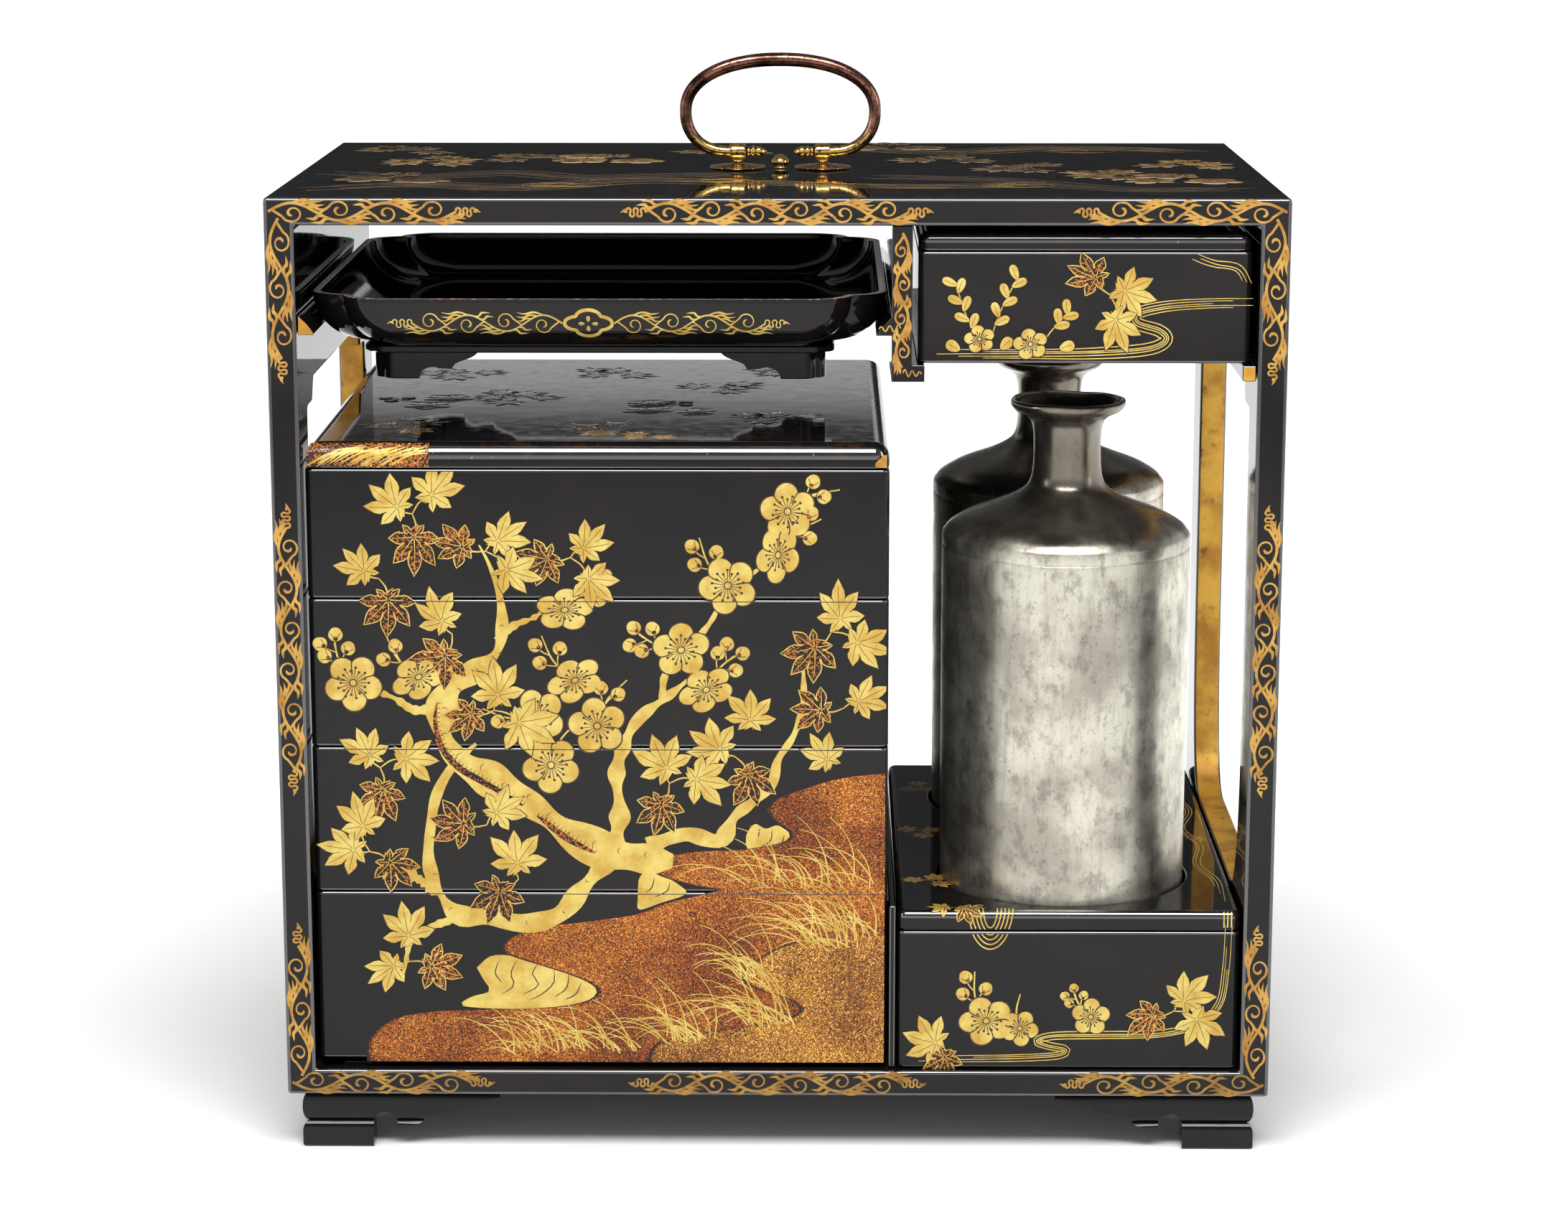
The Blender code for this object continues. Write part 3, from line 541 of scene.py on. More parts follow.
def face_data(mesh: Mesh) -> tuple[Array, Array, Array]:
    """The centre, the normal and the material index of each face."""
    count = len(mesh.polygons)
    centres, normals, slots = np.empty(count * 3), np.empty(count * 3), np.empty(count, dtype=np.int32)
    for name, values in (("center", centres), ("normal", normals), ("material_index", slots)):
        mesh.polygons.foreach_get(name, values)
    return centres.reshape(-1, 3), normals.reshape(-1, 3), slots


def spans(*nodes: str) -> tuple[Array, Array]:
    """The lowest and highest corner of the box round some CAD nodes."""
    boxes = np.array([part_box(node) for node in nodes])
    return boxes[:, 0].min(axis=0), boxes[:, 1].max(axis=0)


def arc(start: float, end: float, steps: int) -> tuple[Array, Array]:
    """Cosines and sines of evenly spaced angles, in degrees."""
    angles = np.radians(np.linspace(start, end, steps + 1))
    return np.cos(angles), np.sin(angles)


def pairs(*values: Array) -> Array:
    """Joins rows of coordinates to points."""
    return np.stack(values, axis=1)


def even(count: int) -> Array:
    """Even steps from 0 to 1."""
    return np.linspace(0.0, 1.0, count)


def rounded_ring(low: Array, high: Array, corner: float, steps: int = 5) -> Array:
    """A rectangle with round corners, anticlockwise: four quarter circles joined by straight sides."""
    parts = []
    ends = ((high[0] - corner, low[0] + corner), (low[1] + corner, high[1] - corner))
    for column, row, start in ((0, 0, -90.0), (0, 1, 0.0), (1, 1, 90.0), (1, 0, 180.0)):
        cosine, sine = arc(start, start + 90.0, steps)
        parts.append(pairs(ends[0][column] + corner * cosine, ends[1][row] + corner * sine))
    return np.concatenate(parts)


def mokko_ring(low: Array, high: Array, lobe: float, reach: float, steps: int = 8) -> Array:
    """A rectangle whose every corner is two convex rounds that meet in a cusp on its diagonal.

    Each round has the radius `lobe` and leaves its straight side at `reach` from the corner.
    """
    cusp = (reach + lobe - math.sqrt((reach + lobe) ** 2 - 2.0 * reach ** 2)) / 2.0
    cosine, sine = arc(90.0, math.degrees(math.atan2(lobe - cusp, reach - cusp)), steps)
    first = pairs(reach - lobe * cosine, lobe - lobe * sine)
    corner = np.concatenate([first, first[-2::-1, ::-1]])
    back = corner[::-1]
    return np.concatenate([
        pairs(low[0] + back[:, 0], low[1] + back[:, 1]),
        pairs(high[0] - corner[:, 0], low[1] + corner[:, 1]),
        pairs(high[0] - back[:, 0], high[1] - back[:, 1]),
        pairs(low[0] + corner[:, 0], high[1] - corner[:, 1]),
    ])


def stack_rings(ring_at: Callable[[float], Array], profile: Array) -> Array:
    """One ring for each (inset, height) of a profile, as an array of rows by columns by three."""
    rings = [(ring_at(inset), height) for inset, height in profile]
    return np.stack([np.column_stack([ring, np.full(len(ring), height)]) for ring, height in rings])


def rounded_loft(node: str, rows: Sequence, corner: float, steps: int = 5, least: float = 0.8 * MM) -> Mesh:
    """A node's box with round corners.

    Args:
        node: the CAD node.
        rows: inset, height and edge of each ring.
        corner: the corners' radius at no inset.
        steps: how many faces a corner has.
        least: the smallest radius.
    """
    low, high = spans(node)
    table = np.array(rows)
    rings = stack_rings(lambda inset: rounded_ring(low + inset, high - inset, max(corner - inset, least),
                                                   steps), table[:, :2])
    return loft(node, rings, 1e-6, table[:, 2])


def quarter(inset: float, height: float, radius: float, end: str, steps: int = 4) -> list[tuple[float, ...]]:
    """Rows of (inset, height, edge) round one edge of a box, up the outside and down the inside.

    Args:
        inset: how far in the edge's outer side lies.
        height: where the edge's flat end lies.
        radius: how round it is.
        end: "top" or "bottom", or "inner_top" or "inner_bottom" of an inner side.
        steps: how many faces the round has.
    """
    cosine, sine = arc(0.0, 90.0, steps)
    near, far, edge = radius * (1.0 - sine), radius * (1.0 - cosine), 2.0 * sine * cosine
    insets, heights = {"bottom": (near, far), "top": (far, -near), "inner_top": (-near, -far),
                       "inner_bottom": (far, near)}[end]
    return list(zip(inset + insets, height + heights, edge * (not end.startswith("inner"))))


# The case


@dataclass
class CaseBody:
    """The four boards of the case as one lacquered body, with a window in each side."""

    side_thick: float = 9.4 * MM
    edge: float = 1.1 * MM
    window_half: float = 77.0 * MM
    window_top: float = 250.5 * MM
    window_bottom: float = 80.5 * MM
    curve: tuple[float, float] = (26.0 * MM, 74.0 * MM)
    curve_power: float = 2.8
    spandrel: tuple[float, float] = (17.0 * MM, 7.5 * MM)
    small: float = 2.0 * MM

    def window(self) -> Array:
        """The window in Y and Z, anticlockwise as seen from +X.

        Each lower corner is a quarter of a superellipse. Each upper corner steps down by the spandrel, with a
        small round at the side and an ogee up to the window's top.
        """
        cosine, sine = (part ** (2.0 / self.curve_power) for part in arc(0.0, 90.0, 22))
        lower = np.stack([self.window_half - self.curve[0] * (1.0 - cosine),
                          self.window_bottom + self.curve[1] * (1.0 - sine)], axis=1)[::-1]
        step, rise = self.spandrel
        under = self.window_top - rise
        cosine, sine = arc(0.0, 90.0, 5)
        turn = pairs(self.window_half - self.small * (1.0 - cosine), under - self.small * (1.0 - sine))
        share = even(7)
        ogee = np.stack([self.window_half - step * (0.68 + 0.32 * share),
                         under + rise * (3.0 * share ** 2 - 2.0 * share ** 3) ** 0.8], axis=1)
        right = np.concatenate([lower, turn, ogee])
        return np.concatenate([right, right[::-1] * (-1.0, 1.0)])

    def build(self) -> None:
        """Cuts the windows through a square tube, rounds every edge and gilds the windows' thickness."""
        low, high = spans(*BOARDS)
        inner_low = (low[0] + self.side_thick, 0.0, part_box("case_base")[1][2])
        inner_high = (high[0] - self.side_thick, 0.0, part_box("case_top")[0][2])
        rows = []
        for (left, _, bottom), (right, _, top), along in ((low, high, low[1]), (low, high, high[1]),
                                                          (inner_low, inner_high, high[1]),
                                                          (inner_low, inner_high, low[1])):
            rows.append([(left, along, bottom), (left, along, top), (right, along, top),
                         (right, along, bottom)])
        tube = loft("case_tube", np.array(rows), hoop=True)
        beyond = 20.0 * MM
        cutter = prism(self.window(), 0, low[0] - beyond, high[0] + beyond)
        mesh = carve(tube, (cutter,), (LACQUER, GILT, EDGE), self.edge)
        centres, normals, slots = face_data(mesh)
        reach, along, level = np.abs(centres[:, 0]), np.abs(centres[:, 1]), centres[:, 2]
        inside = (reach > high[0] - self.side_thick + 0.6 * self.edge) & (reach < high[0] - 0.6 * self.edge)
        inside &= (along < self.window_half + self.edge) & (np.abs(normals[:, 0]) < 0.8)
        inside &= (level > self.window_bottom - self.edge) & (level < self.window_top + self.edge)
        mesh.polygons.foreach_set("material_index", np.where(inside, 1, slots).astype(np.int32))
        show("case_body", mesh, (), BOARDS, 35.0)


@dataclass
class InnerWoodwork:
    """The hanging divider, the two rails and the low partition."""

    rail_toe: float = 0.5 * MM
    rail_top: float = 275.2 * MM
    rail_bottom: float = 269.2 * MM
    ledge_top: float = 259.9 * MM
    divider: tuple[float, float] = (35.9 * MM, 42.4 * MM)

    @staticmethod
    def strip(name: str, finishes: Sequence[Finish], edge: float = 0.5 * MM,
              outline: Sequence | None = None) -> None:
        """An outline carried along Y through a node's box, with softened edges.

        Args:
            name: the CAD node.
            finishes: for the strip, where there are three for its ends, and for its edges.
            edge: the radius of its edges.
            outline: its points in X and Z, or none for the box's own.
        """
        low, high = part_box(name)
        if outline is None:
            outline = ((low[0], low[2]), (low[0], high[2]), (high[0], high[2]), (high[0], low[2]))
        mesh = carve(prism(np.array(outline), 1, low[1], high[1]), (), finishes, edge, 30.0)
        gilt = len(finishes) > 2
        if gilt:
            _, normals, slots = face_data(mesh)
            ends = np.where(np.abs(normals[:, 1]) > 0.9, 1, slots)
            mesh.polygons.foreach_set("material_index", ends.astype(np.int32))
        show(name + "_lacquered", mesh, (), (name,), 35.0)

    def build(self) -> None:
        """Makes each strip on its node's box."""
        low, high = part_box("hanging_divider")
        left, right = self.divider
        self.strip("hanging_divider", (LACQUER, EDGE), outline=(
            (left, low[2]), (left, self.rail_bottom), (low[0], self.rail_bottom),
            (low[0], self.rail_bottom + self.rail_toe), (left, self.rail_top), (left, high[2]),
            (right, high[2]), (right, self.ledge_top), (high[0], self.ledge_top), (high[0], low[2])))
        low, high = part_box("tray_rail")
        cosine, sine = arc(90.0, 0.0, 6)
        share = even(7)
        toe = low[2] + self.rail_toe
        slope = np.stack([low[0] + (high[0] - low[0]) * (cosine * 0.35 + 0.65 * share),
                          toe + (high[2] - toe) * (sine * 0.35 + 0.65 * share[::-1])], axis=1)
        rail = np.concatenate([[(low[0], low[2])], slope, [(high[0], low[2])]])
        self.strip("tray_rail", (LACQUER, GILT, EDGE), 0.3 * MM, rail)
        self.strip("box_rail", (LACQUER, GILT, EDGE))
        self.strip("low_partition", (LACQUER, EDGE), 0.6 * MM)


@dataclass
class BracketFeet:
    """Four moulded bracket feet: a cushion over a stepped block, with a cusped apron along each side."""

    thick: float = 9.0 * MM
    arch: tuple[float, float, float] = (23.2 * MM, 30.9 * MM, 12.0 * MM)
    pendant: tuple[float, float, float] = (31.2 * MM, 35.8 * MM, 7.4 * MM)
    cusp: tuple[float, float] = (40.8 * MM, 11.0 * MM)
    cushion: tuple[float, float, float] = (9.0 * MM, 18.6 * MM, 1.9 * MM)
    shoulder: float = 5.8 * MM
    toe: float = 1.3 * MM
    over: float = 4.0 * MM

    def profile(self, height: float) -> Array:
        """How far the outer face lies back, for each height from the table up.

        A rounded toe, an upright face, a hollow chamfer and a half-ellipse cushion that ends under the board.
        """
        low, high, bulge = self.cushion
        cosine, sine = arc(0.0, 90.0, 5)
        toe = pairs(self.toe * (1.0 - sine), self.toe * (1.0 - cosine))
        share = even(6)
        hollow = pairs(bulge * share ** 1.6, self.shoulder + (low - self.shoulder) * share ** 0.8)
        cosine, sine = arc(-90.0, 90.0, 16)
        cushion = pairs(bulge * (1.0 - cosine), (low + high) / 2.0 + (high - low) / 2.0 * sine)
        return np.concatenate([toe, hollow, cushion[1:], [(bulge, height)]])

    def apron(self, length: float, height: float) -> Array:
        """What is cut away under an apron, as distance from the corner and height above the table.

        An arch, a pendant, a cusp and a long ogee up to the board.

        Args:
            length: how far the apron runs.
            height: where the board is.
        """
        start, end, crown = self.arch
        middle, half = (start + end) / 2.0, (end - start) / 2.0
        flat_start, flat_end, pendant = self.pendant
        cusp, cusp_height = self.cusp
        cosine, sine = arc(180.0, 0.0, 12)
        arch = pairs(middle + half * cosine, crown - half + half * sine)
        cosine, sine = arc(-90.0, -12.0, 7)
        hang = pairs(flat_end + (cusp - flat_end) * cosine, cusp_height + (cusp_height - pendant) * sine)
        cosine, sine = arc(180.0, 270.0, 3)
        corner = pairs(flat_start + 0.5 * MM * (1.0 + cosine), pendant + 0.5 * MM * (1.0 + sine))
        share = even(15)
        rise = height - 2.2 * MM - cusp_height
        wave = cusp_height + rise * (share ** 2.2 * (1.0 - share) * 1.6 + share ** 1.7 * 0.98)
        ogee = pairs(cusp + 1.5 * MM + (length - cusp - 1.5 * MM) * share, wave)
        beyond, below = length + 3.0 * MM, -3.0 * MM
        tail = np.array([(length, height + MM), (beyond, height + MM), (beyond, below), (start, below)])
        return np.concatenate([arch, corner, hang, ogee, tail])

    def build(self) -> None:
        """Makes the four feet, each -1 or 1 towards its end and its side."""
        for end, end_name in ((-1, "front"), (1, "back")):
            for side, side_name in ((-1, "left"), (1, "right")):
                self.foot("foot_%s_%s" % (end_name, side_name), np.array([side, end]))

    def foot(self, node: str, signs: Array) -> None:
        """One foot: an L-shaped plan lofted up its profile, with both aprons cut out of it."""
        low, high = spans(node)
        corner = np.where(signs < 0, low[:2], high[:2])
        length, flank = (high - low)[:2]
        rows = []
        for inset, height in self.profile(high[2]):
            plan = np.array([(inset, inset), (length, inset), (length, self.thick), (self.thick, self.thick),
                             (self.thick, flank), (inset, flank)])
            rows.append(np.column_stack([corner - plan * signs, np.full(len(plan), height)]))
        grid = np.stack(rows)[:, ::int(signs.prod())]
        cutters = []
        for axis, reach in ((0, length), (1, flank)):
            outline = self.apron(reach, high[2])
            outline[:, 0] = corner[axis] - signs[axis] * outline[:, 0]
            edge, other = corner[1 - axis], signs[1 - axis]
            cutters.append(prism(outline, 1 - axis, edge + other * self.over,
                                 edge - other * (self.thick + self.over)))
        mesh = carve(loft(node, grid), cutters, (LACQUER, EDGE), 0.45 * MM)
        show(node + "_lacquered", mesh, (), (node,), 35.0)


# Boxes and lids


@dataclass
class LacqueredBox:
    """An open box of rounded rectangles. A seat is a step at its foot that stands in the box below."""

    node: str
    wall: float
    floor: float
    edge: float = 0.9 * MM
    seat_inset: float = 0.0
    seat_depth: float = 0.0
    corner: float = 2.6 * MM

    def build(self) -> None:
        """Lofts the outside up and the inside down."""
        low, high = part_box(self.node)
        base = low[2] + self.seat_depth
        rows = quarter(0.0, base, self.edge, "bottom") + quarter(0.0, high[2], self.edge, "top")
        rows += quarter(self.wall, high[2], 0.6 * self.edge, "inner_top")
        rows += quarter(self.wall, base + self.floor, 2.5 * MM, "inner_bottom")
        if self.seat_depth > 0.0:
            rows = (quarter(self.seat_inset, low[2], 0.4 * MM, "bottom", 2)
                    + [(self.seat_inset, base, 0.0)] + rows)
        mesh = rounded_loft(self.node, rows, self.corner, least=0.5 * MM)
        show(self.node + "_lacquered", mesh, (LACQUER, EDGE), (self.node,))


@dataclass
class LacqueredLid:
    """A lid with a rounded upper edge, hollow below, whose lip fits inside its box."""

    node: str
    wall: float
    corner: float
    round: float
    plate: float = 3.2 * MM
    play: float = 0.6 * MM
    seat: float = 1.5 * MM
    lip_wall: float = 2.4 * MM

    def profile(self) -> list[tuple[float, ...]]:
        """Rows of (inset, height, edge) from the hollow's ceiling round the lip, up the side and over."""
        low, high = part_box(self.node)
        under = low[2] + self.seat
        lip = self.wall + self.play
        inner = lip + self.lip_wall
        rows = [(inner, high[2] - self.plate, 0.0), (inner, low[2], 0.0), (lip, low[2], 0.0),
                (lip, under, 0.0)]
        rows += quarter(0.0, under, 0.5 * MM, "bottom", 3)
        over = quarter(0.0, high[2], self.round, "top", 10)
        return rows + [(inset, height, 0.5 * edge) for inset, height, edge in over]

    def build(self) -> None:
        """Lofts the profile round the lid."""
        mesh = rounded_loft(self.node, self.profile(), self.corner, 7)
        show(self.node + "_lacquered", mesh, (LACQUER, EDGE), (self.node,))


@dataclass
class TierStack:
    """Four tiers and their lid."""

    wall: float = 4.5 * MM
    foot: tuple[float, float] = (7.0 * MM, 2.8 * MM)
    seat: tuple[float, float] = (5.1 * MM, 1.5 * MM)
    lid: LacqueredLid = field(default_factory=lambda: LacqueredLid("tier_lid", 4.5 * MM, 5.5 * MM, 5.0 * MM))

    def build(self) -> None:
        """Makes the tiers from the bottom up, the first on a foot and the others on a seat, then the lid."""
        for node in TIERS:
            LacqueredBox(node, self.wall, self.wall, 0.8 * MM,
                         *(self.foot if node == TIERS[0] else self.seat)).build()
        self.lid.build()


@dataclass
class BottleBox:
    """The low box, and its lid with two round holes."""

    hole: float = 41.6 * MM
    spacing: float = 99.0 * MM
    edge: float = 2.4 * MM

    def build(self) -> None:
        """Makes the box, then lofts the lid up its rounded edge and cuts both holes out of it."""
        LacqueredBox("bottle_box", 4.5 * MM, 3.2 * MM).build()
        low, high = spans("bottle_box_lid")
        rows = ([(0.6 * MM, low[2], 0.0), (0.0, low[2] + 0.6 * MM, 0.0)]
                + quarter(0.0, high[2], self.edge, "top", 6))
        circle = self.hole * np.stack(arc(0.0, 360.0, 96), axis=1)[:-1] + (low + high)[:2] / 2.0
        cutters = [prism(circle + (0.0, side * self.spacing / 2.0), 2, low[2] - 5.0 * MM, high[2] + 5.0 * MM)
                   for side in (-1.0, 1.0)]
        mesh = carve(rounded_loft("bottle_box_lid", rows, 3.0 * MM), cutters, (LACQUER, EDGE), 0.7 * MM, 50.0)
        show("bottle_box_lid_lacquered", mesh, (), ("bottle_box_lid",), 35.0)


@dataclass
class Bottle:
    """A pewter bottle: a turned outside and inside."""

    node: str
    seed: int
    wall: float = 2.0 * MM
    turn_steps: int = 128
    body: tuple = ((38.6, 0.0), (39.6, 0.35), (40.15, 1.2), (40.35, 5.0), (40.55, 60.0), (40.75, 120.0),
                   (40.8, 160.0), (40.8, 161.6), (40.45, 162.0), (40.45, 162.3), (40.8, 162.8),
                   (40.8, 165.6), (40.5, 166.4))
    shoulder: tuple = ((40.0, 167.0), (38.4, 168.9), (34.0, 171.6), (30.2, 173.3), (24.0, 175.6),
                       (18.0, 178.2), (13.4, 181.2), (11.7, 184.6), (11.2, 188.0))
    neck: tuple = ((11.0, 191.0), (10.95, 195.0), (11.05, 199.0), (11.4, 201.6), (12.2, 203.6), (13.7, 205.1),
                   (15.7, 206.1), (17.3, 206.8), (18.4, 207.9), (18.9, 209.0), (18.9, 209.9), (18.5, 210.5),
                   (17.7, 210.6))
    inside: tuple = ((9.2, 190.0), (9.4, 184.5), (11.4, 180.2), (16.0, 176.4), (23.5, 173.2), (30.0, 171.0),
                     (36.2, 167.6), (38.6, 163.5), (38.3, 4.5), (36.0, 2.2))

    def build(self) -> None:
        """Turns (radius, height) in millimetres about the bottle's axis, with a slight waver at the lip.

        The body tapers a little to a thin line at its top, the shoulder sweeps up to the neck, and the
        neck flares to a thick lip. The inside follows the mouth down by the wall.
        """
        low, high = spans(self.node)
        centre = (low + high) / 2.0
        base = (0.0, low[2])
        outer = np.concatenate([self.body, smooth(self.shoulder, 40), self.neck]) * MM + base
        mouth = outer[outer[:, 1] > low[2] + 195.0 * MM][::-1]
        inner_neck = np.column_stack([np.maximum(mouth[:, 0] - self.wall, 9.0 * MM), mouth[:, 1]])[1:]
        inner_neck[:2, 0] = mouth[1:3, 0] - (1.1 * MM, 1.5 * MM)
        profile = np.concatenate([outer, inner_neck, np.array(self.inside) * MM + base])
        turn = np.radians(np.arange(self.turn_steps) * 360.0 / self.turn_steps)
        near_lip = np.clip((profile[:, 1:] - low[2] - 203.0 * MM) / (8.0 * MM), 0.0, 1.0)
        waver = 0.22 * MM * np.sin(3.0 * turn + self.seed) + 0.12 * MM * np.sin(7.0 * turn + 2.0 * self.seed)
        radius = profile[:, :1] + near_lip * (waver * 0.5 - 0.1 * MM)
        height = profile[:, 1:] + near_lip * (waver * 0.8 - 0.3 * MM)
        points = np.stack([centre[0] + radius * np.cos(turn), centre[1] + radius * np.sin(turn), height],
                          axis=-1)
        show(self.node + "_pewter", loft(self.node, points), (PEWTER,), (self.node,), 50.0)


# The tray


@dataclass
class Tray:
    """A flaring tray with notched corners on a moulded foot with a cusped apron."""

    flare: float = 16.5 * MM
    wall: float = 2.4 * MM
    floor: float = 3.2 * MM
    lobe: float = 13.0 * MM
    reach: float = 24.0 * MM
    foot_inset: float = 2.8 * MM
    foot_wall: float = 4.2 * MM
    foot_ledge: float = 261.1 * MM
    leg: float = 14.4 * MM
    apron_reach: float = 33.7 * MM
    lip: float = 0.5 * MM

    def ring(self, inset: float) -> Array:
        """The tray's outline at one inset. Its corner rounds shrink as it narrows."""
        low, high = spans("tray")
        return mokko_ring(low + inset, high - inset, self.lobe - 0.25 * inset, self.reach - 0.35 * inset)

    def build(self) -> None:
        """Lofts quarter ellipses outside and inside, with a thin worn rim between whose pale line is partly a
        painted highlight, then makes the foot.
        """
        low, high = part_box("tray")
        depth, rim, lip = high[2] - low[2], high[2], self.lip
        cosine, sine = arc(90.0, 4.0, 19)
        outer = np.column_stack([self.flare * (1.0 - cosine), rim - depth * sine])
        inner = np.column_stack([self.wall + self.flare * (1.0 - cosine),
                                 rim - (depth - self.floor) * sine])[::-1]
        edge = np.array([(0.0, rim - 0.6 * lip), (0.25 * lip, rim - 0.12 * lip), (lip, rim),
                         (self.wall - lip, rim), (self.wall - 0.2 * lip, rim - 0.15 * lip),
                         (self.wall, rim - 0.7 * lip)])
        surface = Surface()
        surface.grid(stack_rings(self.ring, np.concatenate([outer, edge[:2]])), True, cap_start=True)
        surface.grid(stack_rings(self.ring, edge[1:5]), True, slot=1)
        surface.grid(stack_rings(self.ring, np.concatenate([edge[4:], inner])), True, cap_end=True)
        show("tray_lacquered", surface.mesh("tray", 1e-6), (LACQUER, RIM), ("tray",))
        self.foot()

    def apron(self, start: float, end: float, bottom: float) -> Array:
        """What is cut away between two legs: a round rise, a cusp and an ogee up to the ledge, mirrored."""
        rise = self.foot_ledge - bottom
        first = start + self.leg
        cosine, sine = arc(170.0, 62.0, 8)
        hump = pairs(first + 4.6 * MM * (1.0 + cosine), bottom + 0.43 * rise * sine)
        span = self.apron_reach - self.leg
        share = even(9)
        wave = 0.36 + 0.46 * share ** 0.45 + 0.17 * share ** 6
        ogee = pairs(first + span * (0.55 + 0.45 * share), bottom + rise * wave)
        half = np.concatenate([[(first, bottom - 3.0 * MM)], hump, ogee])
        return np.concatenate([half, half[::-1] * (-1.0, 1.0) + (start + end, 0.0)])

    def foot(self) -> None:
        """A hollow frame under a ledge, with the apron cut through both ways."""
        low, high = spans("tray_foot")
        inset, ledge, back = self.foot_inset, self.foot_ledge, self.foot_inset + self.foot_wall
        profile = np.array([(inset + 0.4 * MM, low[2]), (inset, low[2] + 0.4 * MM), (inset, ledge),
                            (0.3 * MM, ledge), (0.0, ledge + 0.4 * MM), (0.0, high[2] - 0.5 * MM),
                            (0.5 * MM, high[2]), (back, high[2]), (back, low[2])])
        rings = stack_rings(lambda inset: mokko_ring(low + inset, high - inset, 4.0 * MM, 7.0 * MM, 4),
                            profile)
        cutters = [prism(self.apron(low[axis] + inset, high[axis] - inset, low[2]), 1 - axis,
                         low[1 - axis] - MM, high[1 - axis] + MM) for axis in (0, 1)]
        mesh = carve(loft("tray_foot", rings, hoop=True), cutters, (LACQUER,))
        show("tray_foot_lacquered", mesh, (), ("tray_foot",), 35.0)


# The metal fittings


